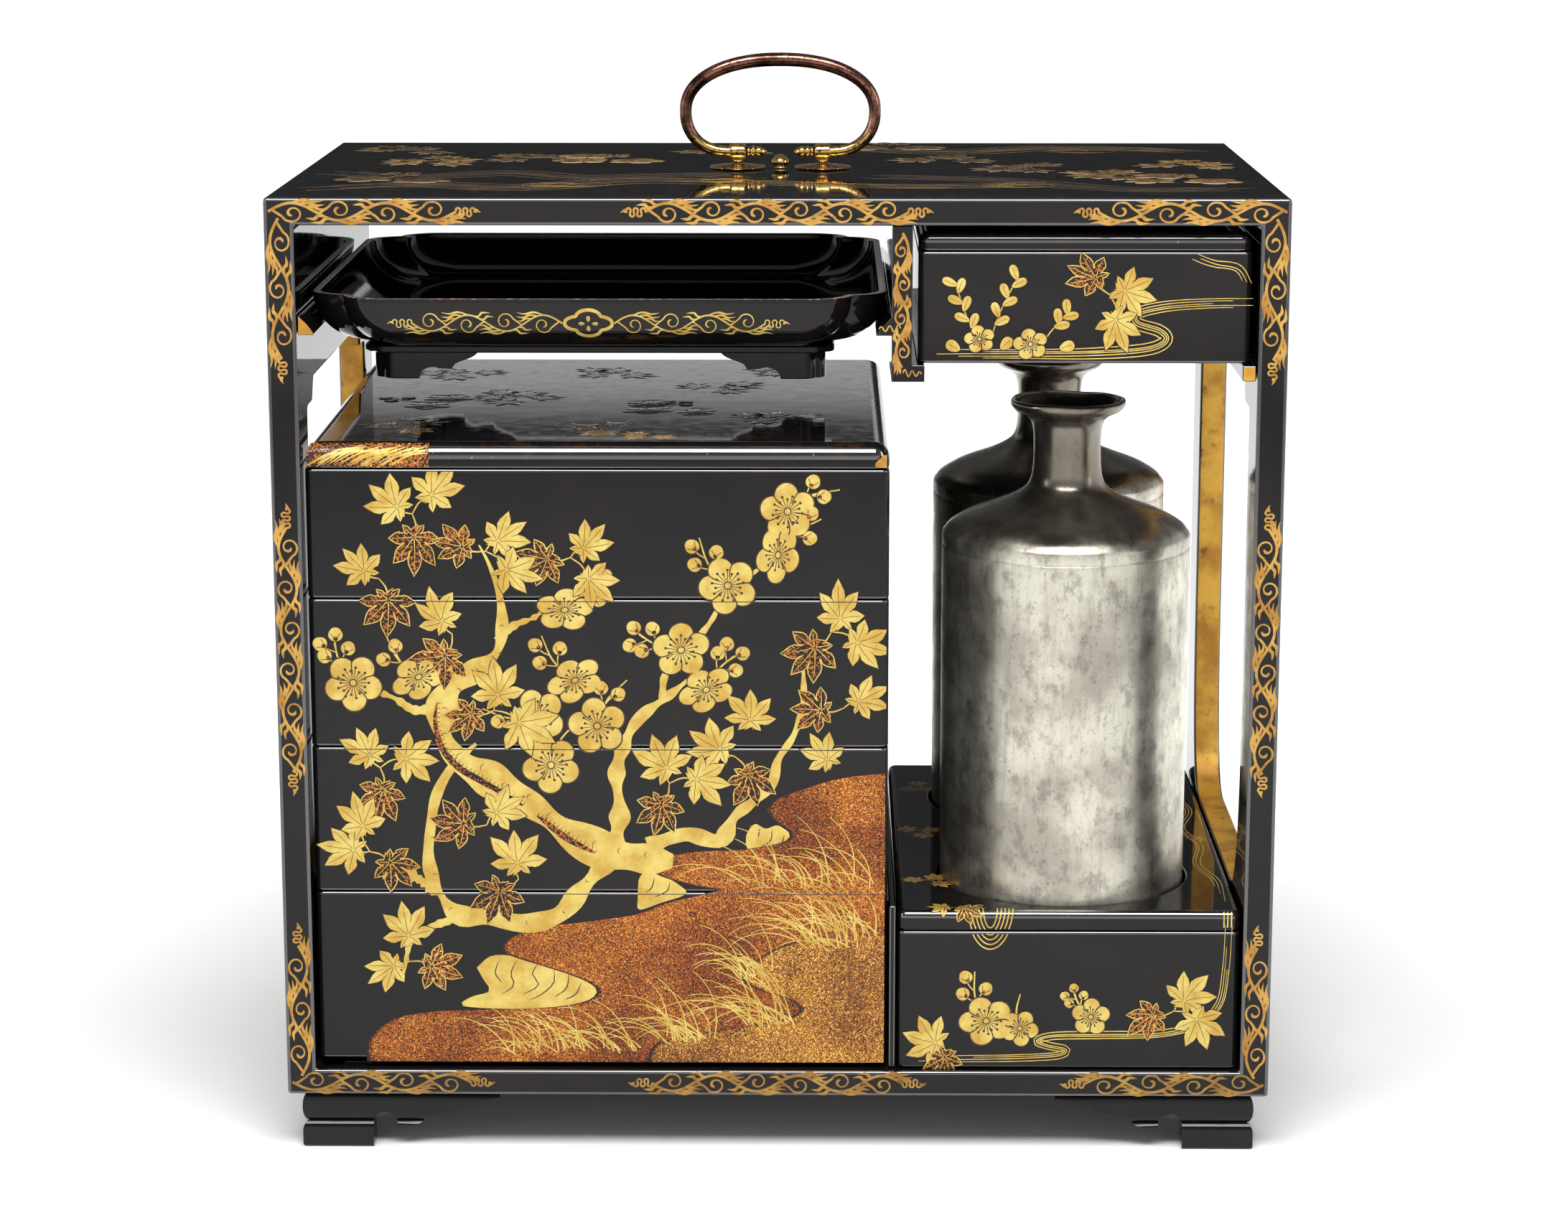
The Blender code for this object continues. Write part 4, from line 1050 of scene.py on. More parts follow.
@dataclass
class Fittings:
    """The bail with its finials, its two eyes on lobed rosettes, and the domed stud between them."""

    pivot: float = 318.1 * MM
    eye_x: float = 14.25 * MM
    eye_radius: float = 2.8 * MM
    eye_length: float = 5.3 * MM
    eye_hole: float = 2.15 * MM
    loop_half: float = 31.7 * MM
    waist: float = 13.5 * MM
    crown: float = 30.7 * MM
    power: float = 2.2
    start: float = 17.4 * MM
    bar: tuple[float, float, float] = (1.85 * MM, 2.05 * MM, 2.3 * MM)
    rosette: float = 9.9 * MM
    petals: int = 6
    finial: tuple = (
        (4.55, 0.12), (4.75, 0.45), (5.2, 0.85), (5.9, 1.35), (6.6, 1.72), (7.3, 1.85), (7.9, 1.72),
        (8.3, 1.45), (8.42, 1.15), (8.55, 1.15), (8.62, 1.85), (8.8, 2.02), (9.4, 2.02), (9.6, 1.85),
        (9.66, 1.2), (9.8, 1.18), (9.95, 1.45), (10.4, 1.68), (10.9, 1.66), (11.3, 1.42), (11.5, 1.2),
        (11.8, 1.2), (12.0, 1.8), (17.0, 1.85))
    barrel: tuple = ((0.90, 0.0), (1.0, 0.14), (1.0, 0.42), (0.93, 0.72), (0.80, 0.90), (0.55, 0.99),
                     (0.0, 1.0))
    knob: tuple = ((0.70, 0.0), (0.62, 0.06), (0.68, 0.15), (0.95, 0.30), (1.0, 0.46), (0.93, 0.60),
                   (0.68, 0.80), (0.50, 0.90), (0.28, 0.98), (0.05, 1.0))

    def bail(self) -> None:
        """Carries a circle along the whole path: finial, lower and upper superellipse, and their mirror."""
        finial = np.array(self.finial) * MM
        parts = [np.column_stack([-finial[:, 0], 0.0 * finial[:, 0], finial[:, 1]])]
        for angles, steps, near, far, start, end in (
                ((270.0, 180.0), 22, self.start, self.waist, 0, 1),
                ((180.0, 90.0), 30, 0.0, self.crown, 1, 2)):
            cosine, sine = (np.abs(part) ** (2.0 / self.power) for part in arc(*angles, steps))
            rise = self.waist - self.waist * sine if start == 0 else self.waist + (far - self.waist) * sine
            bar = np.linspace(self.bar[start], self.bar[end], steps + 1)
            parts.append(np.column_stack([-near - (self.loop_half - near) * cosine, rise, bar])[start:])
        half = np.concatenate(parts)
        path = np.concatenate([half, half[-2::-1] * (-1.0, 1.0, 1.0)])
        tangent = np.gradient(path[:, :2], axis=0)
        tangent /= np.linalg.norm(tangent, axis=1, keepdims=True)
        turn = np.radians(np.arange(28) * 360.0 / 28)
        across, out = np.cos(turn), np.sin(turn)
        x = path[:, :1] - path[:, 2:] * tangent[:, 1:] * out
        z = self.pivot + path[:, 1:2] + path[:, 2:] * tangent[:, :1] * out
        points = np.stack([x, path[:, 2:] * across * np.ones_like(x), z], axis=-1)
        show("handle_bail", loft("handle", points), (BRASS,), ("handle",), 50.0,
             HANDLE_BODY)

    def eye(self, side: int, name: str) -> None:
        """A barrel with a bore, turned about X, on a waisted stem."""
        node = "handle_post_" + name
        centre = side * self.eye_x
        right = np.array(self.barrel)
        profile = np.concatenate([right * (-1.0, 1.0), right[-2::-1]])
        along = centre + self.eye_length / 2.0 * profile[:, :1]
        radius = self.eye_hole + (self.eye_radius - self.eye_hole) * profile[:, 1:]
        turn = np.radians(np.arange(40) * 9.0)
        surface = Surface()
        surface.grid(np.stack([along + 0.0 * turn, radius * np.cos(turn),
                               self.pivot + radius * np.sin(turn)], axis=-1), True, True)
        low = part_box(node)[0][2]
        share = even(6)[:, None]
        waist = (2.6 - 1.0 * np.sin(share * 2.6)) * MM
        rise = low + (self.pivot - 2.35 * MM - low) * share
        surface.grid(np.stack([centre + 0.85 * waist * np.cos(turn), 0.8 * waist * np.sin(turn),
                               rise + 0.0 * turn], axis=-1), True, cap_start=True, cap_end=True)
        show("handle_eye_" + name, surface.mesh("eye"), (BRASS,), (node,), 50.0)

    def plate(self, side: int, name: str) -> None:
        """A low flower of rounded petals: the radius and the height both rise and fall with the petals."""
        node = "rosette_" + name
        low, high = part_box(node)
        turn = np.radians(np.arange(120) * 3.0)
        valley = 1.0 - np.abs(np.cos(self.petals * turn / 2.0)) ** 0.7
        share = np.array([[0.96, 1.0, 0.985, 0.94, 0.86, 0.76, 0.66, 0.56, 0.46, 0.40, 0.34, 0.2]]).T
        level = np.array([[0.0, 0.16, 0.34, 0.44, 0.52, 0.62, 0.72, 0.80, 0.84, 0.92, 1.0, 1.0]]).T
        groove = np.array([[0.0, 0.0, 0.06, 0.12, 0.18, 0.22, 0.22, 0.18, 0.10, 0.04, 0.0, 0.0]]).T
        radius = self.rosette * share * (1.0 - 0.10 * share ** 2 * valley)
        rise = low[2] + (high[2] - low[2]) * (level - groove * valley)
        points = np.stack([side * self.eye_x + radius * np.sin(turn), -radius * np.cos(turn), rise], axis=-1)
        show(node + "_brass", loft("rosette", points), (BRASS,), (node,), 60.0)

    def stud(self) -> None:
        """A round-headed knob: a waisted foot, a wide belly and a small crown, turned about Z."""
        low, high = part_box("centre_stud")
        profile = smooth(self.knob, 26)
        radius, rise = profile[:, :1] * (high[0] - low[0]) / 2.0, low[2] + profile[:, 1:] * (high[2] - low[2])
        turn = np.radians(np.arange(48) * 7.5)
        points = np.stack([radius * np.cos(turn), radius * np.sin(turn), rise + 0.0 * turn], axis=-1)
        show("centre_stud_brass", loft("stud", points), (BRASS,), ("centre_stud",), 50.0)

    def build(self) -> None:
        """Makes every fitting."""
        self.bail()
        for side, name in ((-1, "left"), (1, "right")):
            self.eye(side, name)
            self.plate(side, name)
        self.stud()


# Gold pictures


class Tone(Enum):
    """The finish of one shape in a picture."""

    GOLD = makie("makie_gold_burnished", "#d9c36c", "#c09b43", "#7c4f22", 0.18)
    SCROLL = makie("makie_gold_scroll_worn", "#c99e4e", "#a4732d", "#6a4220", 0.5)
    FADED = makie("makie_gold_scroll_faded", "#ad8741", "#8a632b", "#4c2f18", 0.8)
    SUNKEN = SunkenGold()
    THIN = SunkenGold("togidashi_gold_faint", cover=0.4)
    HILL = PearSkin()
    PALE_HILL = PearSkin("nashiji_pear_skin_dense", "#3c1d0b", amber="#9c6021", bright="#e0b050", dense=0.30)
    SPRINKLE = PearSkin("nashiji_leaf_sprinkle", "#1c100b", amber="#a8601f", bright="#e6b45a",
                        flake=0.46 * MM, dense=0.60)
    INK = Finish("lacquer_line_in_gold", "#2c1a10", (("#5a3b1c", 1.5 * MM, 3.0, 0.45, 0.8),), 0.0, 0.35)


GOLD, SCROLL, FADED, SUNKEN, THIN, HILL, PALE_HILL, SPRINKLE, INK = Tone
Mapping = Callable[[Array, Array], Array]
RIGHT, LEFT, BACKWARD, UP = (1.0, 0.0, 0.0), (-1.0, 0.0, 0.0), (0.0, 1.0, 0.0), (0.0, 0.0, 1.0)
SINK = 0.03 * MM
ROCK_LIFT, HILL_LIFT, GRASS_LIFT = 0.04 * MM, 0.07 * MM, 0.13 * MM
BRANCH_LIFT, LEAF_LIFT = 0.10 * MM, 0.20 * MM
ABOVE = 0.03 * MM


def flat(origin: Sequence[float], across: Sequence[float], up: Sequence[float]) -> Mapping:
    """A flat face: a point is the origin plus its two coordinates along the face and its lift outward.

    Args:
        origin: the face's origin.
        across: the unit vector to the right.
        up: the unit vector up the face.

    Returns:
        A function from points and lifts to places.
    """
    start, right, top = (np.array(item, dtype=float) for item in (origin, across, up))
    outward = np.cross(right, top)

    def put(points: Array, lift: Array) -> Array:
        """Places the points."""
        return start + points[..., :1] * right + points[..., 1:] * top + lift[..., None] * outward

    return put


def smooth(points: Sequence, count: int) -> Array:
    """A Catmull-Rom curve, resampled to even steps of length.

    Args:
        points: rows of two or more values; the first two are the place.
        count: how many points the curve gets.
    """
    given = np.array(points, dtype=float)
    ends = np.concatenate([[2.0 * given[0] - given[1]], given, [2.0 * given[-1] - given[-2]]])
    place = np.linspace(0.0, len(given) - 1.0, 4 * count)
    index = np.minimum(place.astype(int), len(given) - 2)
    share = (place - index)[:, None]
    first, second, third, fourth = (ends[index + step] for step in range(4))
    curve = 0.5 * (2.0 * second + (third - first) * share
                   + (2.0 * first - 5.0 * second + 4.0 * third - fourth) * share ** 2
                   + (3.0 * second - first - 3.0 * third + fourth) * share ** 3)
    length = np.concatenate([[0.0], np.cumsum(np.linalg.norm(np.diff(curve[:, :2], axis=0), axis=1))])
    wanted = np.linspace(0.0, length[-1], count)
    return np.stack([np.interp(wanted, length, column) for column in curve.T], axis=1)


def turned(points: Array, angle: float) -> Array:
    """Turns points anticlockwise about the origin, by radians."""
    cosine, sine = math.cos(angle), math.sin(angle)
    return points @ np.array([(cosine, sine), (-sine, cosine)])


def heading(angle: float) -> Array:
    """The unit vector at an angle in radians."""
    return np.array([math.cos(angle), math.sin(angle)])


def circle(step: float) -> Array:
    """Points on the unit circle, one every so many degrees."""
    angles = np.radians(np.arange(0.0, 360.0, step))
    return pairs(np.cos(angles), np.sin(angles))


def flower(petals: int, reach: float, petal: float) -> Array:
    """The outline of a ring of circles that overlap, with their centres at `reach` and the radius `petal`."""
    half = math.radians(180.0 / petals)
    inside = (np.radians(np.arange(0.0, 360.0, 6.0)) + half) % (2.0 * half) - half
    radius = reach * np.cos(inside) + np.sqrt(petal ** 2 - (reach * np.sin(inside)) ** 2)
    return radius[:, None] * circle(6.0)


def leftward(path: Array) -> Array:
    """The unit normal on the left of each point of a path."""
    tangent = np.gradient(path, axis=0)
    tangent /= np.maximum(np.linalg.norm(tangent, axis=1, keepdims=True), 1e-9)
    return pairs(-tangent[:, 1], tangent[:, 0])


class Picture:
    """Thin shapes of gold on one face, each a little above the last."""

    def __init__(self, put: Mapping, seed: int = 1) -> None:
        """Starts an empty picture, with what carries points to places and a seed for its irregularities."""
        self.put = put
        self.surface = Surface()
        self.tones: list[Tone] = []
        self.random = np.random.default_rng(seed)

    def slot(self, tone: Tone) -> int:
        """The material index of a tone."""
        if tone not in self.tones:
            self.tones.append(tone)
        return self.tones.index(tone)

    def stroke(self, path: Array, half: float | Array, tone: Tone = GOLD, lift: float = BRANCH_LIFT,
               crown: float = 0.0) -> None:
        """A line: columns run across it, rows along it.

        Args:
            path: its points.
            half: half its width, one value or one for each point.
            tone: its finish.
            lift: its height above the face.
            crown: how much higher its middle is.
        """
        share = np.array([-1.0, -0.6, 0.0, 0.6, 1.0] if crown else [-1.0, 0.0, 1.0])
        widths = np.broadcast_to(half, len(path))
        points = path[:, None] - leftward(path)[:, None] * share[:, None] * widths[:, None, None]
        rise = lift + crown * (1.0 - share ** 2) - SINK * (np.abs(share) == 1.0)
        self.surface.grid(self.put(points, np.broadcast_to(rise, points.shape[:2])), slot=self.slot(tone))

    def line(self, points: Sequence, half: float, tone: Tone = GOLD, lift: float = BRANCH_LIFT,
             count: int = 12, taper: float = 0.3) -> None:
        """A smooth line through a few points, whose half width swells midway and tapers at the ends."""
        widths = half * (taper + (1.0 - taper) * np.sin(np.pi * even(count)) ** 0.6)
        self.stroke(smooth(points, count), widths, tone, lift)

    def fill(self, centre: Array, outline: Array, tone: Tone, lift: float, crown: float = 0.0,
             shadow: float = 0.0) -> None:
        """A shape: rings from its outline in to its centre.

        Args:
            centre: a place that sees its whole outline.
            outline: its points.
            tone: its finish.
            lift: its height above the face.
            crown: how much higher its centre is.
            shadow: how many times as large a dark shape lies under it, or 0 for none.
        """
        if shadow:
            self.fill(centre, centre + (outline - centre) * shadow, INK, lift)
            lift += ABOVE
        share = np.array([1.0, 0.9, 0.5, 0.0])
        points = centre + (outline - centre) * share[:, None, None]
        rise = lift + crown * (1.0 - share ** 2) - SINK * (share == 1.0)
        lifts = np.broadcast_to(rise[:, None], points.shape[:2])
        self.surface.grid(self.put(points, lifts), close_columns=True, slot=self.slot(tone))

    def band(self, first: Array, right: float, tone: Tone, lift: float, fade: float = 0.0) -> None:
        """A ground between a curve and an upright line on its right: straight rows from one to the other.

        Args:
            first: the curve, from its top down.
            right: where the line stands.
            tone: its finish.
            lift: its height above the face.
            fade: how wide its faded margin along the curve is.
        """
        second = np.column_stack([np.full(len(first), right), first[:, 1]])
        width = np.linalg.norm(second - first, axis=1)
        margin = np.minimum(fade / np.maximum(width, 1e-6), 0.5)
        share = np.stack([0.0 * width, 0.35 * margin, margin, 0.5 + 0.5 * margin, 1.0 + 0.0 * width])
        points = first + (second - first) * share[..., None]
        lifts = np.broadcast_to((lift - SINK * (share == 0.0)), points.shape[:2])
        edge = np.array([1.0, 0.55, 0.0, 0.0, 0.0]) * (fade > 0.0)
        self.surface.grid(self.put(points[:, ::-1], lifts[:, ::-1]), slot=self.slot(tone), edge=edge)

    def show(self, name: str, nodes: Sequence[str] = (), margin: float = 0.75 * MM) -> None:
        """Puts the picture into the scene, whole or cut at the seams between a few nodes.

        Args:
            name: its name, or the end of each part's name.
            nodes: the nodes whose parts it is cut into.
            margin: how far inside each node's box its part ends.
        """
        finishes = [tone.value for tone in self.tones]
        mesh = self.surface.mesh(name, 1e-8)
        if not nodes:
            show(name, mesh, finishes)
            return
        for node in nodes:
            work = bmesh.new()
            work.from_mesh(mesh)
            for corner, outward in zip(spans(node), (-1.0, 1.0)):
                for axis in (Vector(RIGHT), Vector(UP)):
                    bmesh.ops.bisect_plane(work, geom=work.verts[:] + work.edges[:] + work.faces[:],
                                           clear_outer=True, plane_co=corner - outward * margin,
                                           plane_no=axis * outward)
            part = bpy.data.meshes.new("%s_%s" % (node, name))
            work.to_mesh(part)
            work.free()
            if part.polygons:
                show(part.name, part, finishes)
        bpy.data.meshes.remove(mesh)

    def maple(self, centre: Array, size: float, turn: float, sprinkled: bool = False, lift: float = LEAF_LIFT,
              tone: Tone = GOLD) -> None:
        """A leaf of seven pointed lobes with a vein in each, bent and foreshortened a little.

        Each lobe is one lance shape, scaled by its length and turned to its angle; a notch follows it.

        Args:
            centre: where its stalk meets it.
            size: the length of its middle lobe.
            turn: where that lobe points, in radians.
            sprinkled: whether it is dark with a gold outline.
            lift: its height above the face.
            tone: its gold.
        """
        angles = np.radians([-132.0, -86.0, -42.0, 0.0, 42.0, 86.0, 132.0])
        lengths = (size * np.array([0.46, 0.78, 0.96, 1.0, 0.96, 0.78, 0.46])
                   * (1.0 + self.random.normal(0.0, 0.05, 7)))
        lance = np.array([(0.42, -0.15), (0.56, -0.205), (0.71, -0.175), (0.88, -0.075), (1.0, 0.0),
                          (0.88, 0.075), (0.71, 0.175), (0.56, 0.205), (0.42, 0.15)])
        lobes = [np.vstack([turned(length * lance, angle), 0.35 * size * heading(angle + math.radians(22.0))])
                 for length, angle in zip(lengths, angles)]
        bend, squeeze = self.random.normal(0.0, 0.12), self.random.uniform(0.78, 1.0)

        def pose(points: Array) -> Array:
            """Bends, narrows and turns the leaf's points."""
            reach = bend * np.linalg.norm(points, axis=1) / size
            cosine, sine = np.cos(reach), np.sin(reach)
            across, up = points.T
            return centre + turned(np.stack([across * cosine - up * sine,
                                             (across * sine + up * cosine) * squeeze], axis=1), turn)

        outline = pose(np.concatenate(lobes))
        level = tone in (THIN, SUNKEN)
        near, far, rows = 0.06, 0.84, 5
        vein, ink, above = np.linspace(0.15, 0.06, 5) * MM, INK, lift + 2.6 * ABOVE
        if level:
            self.fill(centre, outline, tone, ROCK_LIFT)
            near, far, rows, vein, above = 0.1, 0.8, 4, 0.13 * MM, ROCK_LIFT + ABOVE
        elif sprinkled:
            self.fill(centre, outline, SPRINKLE, lift)
            self.stroke(np.concatenate([outline, outline[:1]]), 0.17 * MM, tone, lift + ABOVE)
            ink = tone
        else:
            self.fill(centre, outline, tone, lift, 0.03 * MM, 1.05)
        for length, angle in zip(lengths, angles):
            self.stroke(pose(np.linspace(near, far, rows)[:, None] * length * heading(angle)), vein, ink,
                        above)
        if not level:
            self.line([centre, centre - turned(np.array([0.28 * size, bend * size]), turn)], 0.16 * MM, tone,
                      lift, 4)

    def blossom(self, centre: Array, size: float, turn: float, lift: float = LEAF_LIFT, tone: Tone = GOLD,
                tilt: float = 1.0) -> None:
        """A five-petalled flower with dark partings and stamens.

        Args:
            centre: its middle.
            size: its radius.
            turn: where one petal points, in radians.
            lift: its height above the face.
            tone: its gold.
            tilt: how much it is foreshortened.
        """
        def pose(points: Array) -> Array:
            """Tilts and turns the flower's points."""
            return centre + turned(turned(points, turn) * (1.0, tilt), turn * 0.3)

        outline = pose(flower(5, 0.585 * size, 0.42 * size))
        if tone in (THIN, SUNKEN):
            lift = ROCK_LIFT
            self.fill(centre, outline, tone, lift + ABOVE, 0.05 * MM)
        else:
            self.fill(centre, outline, tone, lift, 0.05 * MM, 1.06)
        top = lift + 3.2 * ABOVE
        for index in range(5):
            angle = math.radians(36.0 + 72.0 * index)
            parting = turned(np.array([(0.30, 0.0), (0.52, 0.03), (0.70, 0.02), (0.83, -0.03)]) * size, angle)
            self.stroke(pose(parting), 0.2 * MM, INK, top)
        ring = circle(24.0)
        self.fill(centre, pose(0.15 * size * ring), INK, top)
        self.fill(centre, pose(0.105 * size * ring), tone, top + ABOVE)
        for index in range(18):
            out, length = heading(index * np.pi / 9.0), (0.52, 0.40)[index % 2] * size
            self.stroke(pose(np.array([0.14 * size * out, length * out])), 0.15 * MM, INK, top)
            tip = (length + 0.03 * size) * out
            self.fill(pose(tip[None])[0], pose(tip + 0.055 * size * ring[::3]), INK, top)

    def bud(self, centre: Array, size: float, turn: float, tone: Tone = GOLD) -> None:
        """A round bud of three bulges, with two dark partings at its foot."""
        ring = circle(20.0)
        bulge = 1.0 + 0.08 * np.abs(np.cos(np.radians(np.arange(0.0, 540.0, 30.0))))
        self.fill(centre, centre + turned(size * bulge[:, None] * ring, turn), tone, LEAF_LIFT, 0.05 * MM,
                  1.12)
        for side in (-1.0, 1.0):
            parting = np.array([(-0.9, 0.1 * side), (-0.25, 0.42 * side), (0.2, 0.75 * side)]) * size
            self.stroke(centre + turned(parting, turn), 0.12 * MM, INK, LEAF_LIFT + 3.2 * ABOVE)
        foot = centre - 0.62 * size * heading(turn)
        self.fill(foot, foot + 0.34 * size * ring[::2], SPRINKLE, LEAF_LIFT + 3.4 * ABOVE)

    def round_leaf(self, centre: Array, size: float, turn: float, lift: float = LEAF_LIFT,
                   slim: float = 0.72) -> None:
        """An oval leaf with a blunt tip and one vein."""
        cosine, sine = circle(20.0).T
        shape = size * pairs(0.85 + cosine, slim * sine * (1.0 + 0.25 * cosine))
        outline = centre + turned(shape, turn)
        self.fill(outline.mean(axis=0), outline, GOLD, lift, 0.03 * MM, 1.08)
        vein = turned(np.array([(0.1, 0.0), (0.8, 0.06), (1.5, 0.0)]) * size, turn)
        self.stroke(centre + vein, 0.08 * MM, INK, lift + 2.8 * ABOVE)

    def branch(self, points: Sequence, count: int = 60) -> Array:
        """A limb with an uneven outline.

        Args:
            points: across, up and half width, in millimetres.
            count: how many rows it has.

        Returns:
            Its middle line.
        """
        path = smooth(np.array(points) * MM * (1.0, 1.0, 1.42), count)
        share = even(count)
        bumps = sum(np.sin(share * turns + start) for turns, start in zip(
            self.random.uniform(10.0, 70.0, 5), self.random.uniform(0.0, 6.0, 5)))
        widths = path[:, 2] * (1.0 + 0.11875 * bumps)
        self.stroke(path[:, :2], np.maximum(widths, 0.12 * MM), GOLD, BRANCH_LIFT, 0.08 * MM)
        return path[:, :2]

    def bark(self, path: Array, half: float) -> None:
        """A sprinkled hollow along a limb, combed with short dark lines, and a few dark arcs across the limb.

        Args:
            path: the limb's middle line.
            half: half the limb's width in millimetres.
        """
        left = leftward(path)
        for index in range(6, len(path) - 12, 6):
            middle = path[index] + left[index] * half * MM * self.random.uniform(-0.7, 0.2)
            reach = half * MM * self.random.uniform(0.25, 0.5) * left[index]
            bulge = middle + 0.6 * MM * left[index][::-1] * (1.0, -1.0)
            self.line([middle - reach, bulge, middle + reach], 0.12 * MM, INK, BRANCH_LIFT + 0.12 * MM, 6)
        if half < 2.0:
            return
        for first, last, level in ((0.16, 0.30, 0.5), (0.33, 0.62, 0.55)):
            run = slice(int(first * len(path)), int(last * len(path)))
            hollow = path[run] + level * half * MM * left[run]
            swell = np.sin(np.pi * np.linspace(0.03, 0.97, len(hollow))) ** 0.6 * 1.15 * MM
            self.stroke(hollow, swell, SPRINKLE, BRANCH_LIFT + 0.10 * MM)
            for spot, side, wide in zip(hollow, left[run], swell):
                comb = np.array([spot - wide * side, spot - (wide + 0.9 * MM) * side])
                self.stroke(comb, 0.11 * MM, INK, BRANCH_LIFT + 0.12 * MM)

    def maples(self, across: float, up: float, count: int, size: float, lean: float, tone: Tone = GOLD,
               spread: float = 0.64) -> None:
        """A spray of leaves, each a golden angle on from the last and further out. Each third is dark.

        Args:
            across: where its twigs meet, in millimetres.
            up: the same, up the face.
            count: how many leaves.
            size: a leaf's middle lobe in millimetres.
            lean: where the spray points, in radians.
            tone: its gold.
            spread: how far out the leaves lie, in leaf sizes.
        """
        middle = np.array([across, up]) * MM
        size *= MM
        for index in range(count):
            angle = lean + 2.4 * index + self.random.normal(0.0, 0.2)
            reach = size * spread * (0.42 + 0.50 * math.sqrt(index + 0.3)) * (1.0 if count > 1 else 0.2)
            spot = middle + reach * heading(angle)
            scale, turn = size * self.random.uniform(0.9, 1.12), angle + self.random.normal(0.0, 0.35)
            bend = middle + 0.5 * (spot - middle) + 0.12 * reach * heading(angle)[::-1] * (-1.0, 1.0)
            self.line([middle, bend, spot], 0.26 * MM, tone, BRANCH_LIFT, 8, 0.6)
            self.maple(spot, scale, turn, index % 3 == 1, LEAF_LIFT + (index % 5) * 0.05 * MM, tone)

    def plums(self, across: float, up: float, flowers: int, buds: int, size: float, lean: float = 1.57,
              tone: Tone = GOLD) -> None:
        """A spray of blossoms with a twig of buds beyond them.

        Args:
            across: the spray's middle, in millimetres.
            up: the same, up the face.
            flowers: how many blossoms.
            buds: how many buds.
            size: a blossom's radius in millimetres.
            lean: where the twig points, in radians.
            tone: its gold.
        """
        middle = np.array([across, up]) * MM
        size *= MM
        for index in range(flowers):
            angle = lean + 2.2 + 2.4 * index + self.random.normal(0.0, 0.2)
            reach = size * (0.75 + 0.55 * math.sqrt(index)) * (1.0 if flowers > 1 else 0.0)
            tilt = self.random.choice([1.0, 0.93, 0.74])
            self.blossom(middle + reach * heading(angle), size, self.random.uniform(0.0, 6.0),
                         LEAF_LIFT + (index % 4) * 0.06 * MM, tone, tilt)
        tip = middle + size * 1.95 * heading(lean)
        side = heading(lean)[::-1] * (-1.0, 1.0) * size
        path = smooth([middle, middle + 0.5 * (tip - middle) + 0.2 * side, tip], 14)
        self.stroke(path, np.linspace(0.42, 0.2, 14) * MM, tone, BRANCH_LIFT)
        for index in range(buds):
            start = path[min(5 + 3 * (index // 2), 13)]
            angle = lean + (0.75, -0.75)[index % 2] * (0.4 if index == buds - 1 else 1.0)
            spot = start + size * 0.64 * heading(angle)
            self.line([start, 0.5 * (start + spot) + 0.06 * side, spot], 0.2 * MM, tone, BRANCH_LIFT, 6, 0.7)
            self.bud(spot, 0.235 * size, angle, tone)

    def grass(self, left: float, right: float, up: float, blades: int, length: float) -> None:
        """A bank of blades that spring up and arch over to the left, in millimetres.

        Args:
            left: where the bank begins.
            right: where it ends.
            up: how high its feet stand.
            blades: how many blades.
            length: about how long they are.
        """
        share = even(14)
        for index in range(blades):
            foot = np.array([left + (right - left) * (index + self.random.uniform()) / blades,
                             up + self.random.uniform(-1.0, 1.6)])
            angle = self.random.uniform(-0.95, 0.3) - self.random.uniform(0.9, 1.6) * share ** 1.25
            steps = pairs(np.sin(angle), np.cos(angle)) * length * self.random.uniform(0.55, 1.15) / 13.0
            self.stroke((foot + np.cumsum(steps, axis=0)) * MM, (0.24 - 0.14 * share) * MM, GOLD, GRASS_LIFT)

    def water(self, points: Sequence, lines: int, gap: float, tone: Tone = GOLD, count: int = 60,
              half: float = 0.17) -> None:
        """Flowing lines side by side: one curve, shifted along its normal by a gap that breathes.

        Args:
            points: the curve, in millimetres.
            lines: how many lines.
            gap: how far apart they are.
            tone: their gold.
            count: how many rows each has.
            half: half their width.
        """
        path = smooth(np.array(points) * MM, count)
        share = even(count)
        for index in range(lines):
            breath = 1.0 + 0.35 * np.sin(5.0 * share + 1.3 * index) * np.sin(np.pi * share)
            shifted = path + leftward(path) * ((index - (lines - 1) / 2.0) * gap * MM * breath)[:, None]
            run = shifted[int(0.05 * count * (index % 3)):count - int(0.06 * count * ((index + 1) % 3))]
            widths = half * MM * np.sin(np.pi * np.linspace(0.04, 0.96, len(run))) ** 0.35
            self.stroke(run, widths, tone, ROCK_LIFT)

    def eddy(self, across: float, up: float, size: float, rings: int, squash: float, tone: Tone) -> None:
        """A whirl: a few arcs of growing radius round one place, in millimetres.

        Args:
            across: its centre.
            up: the same, up the face.
            size: its radius.
            rings: how many arcs.
            squash: how high it is, in widths.
            tone: its gold.
        """
        for index in range(rings):
            radius = size * (0.25 + 0.75 * (index + 1) / rings)
            angles = np.linspace(0.5 * index, 0.5 * index + 4.6, 30)
            spiral = radius * (0.7 + 0.3 * even(30))
            path = pairs(across + spiral * np.cos(angles), up + squash * spiral * np.sin(angles))
            self.stroke(path * MM, 0.15 * MM * np.sin(np.pi * np.linspace(0.05, 0.95, 30)) ** 0.4, tone,
                        ROCK_LIFT)

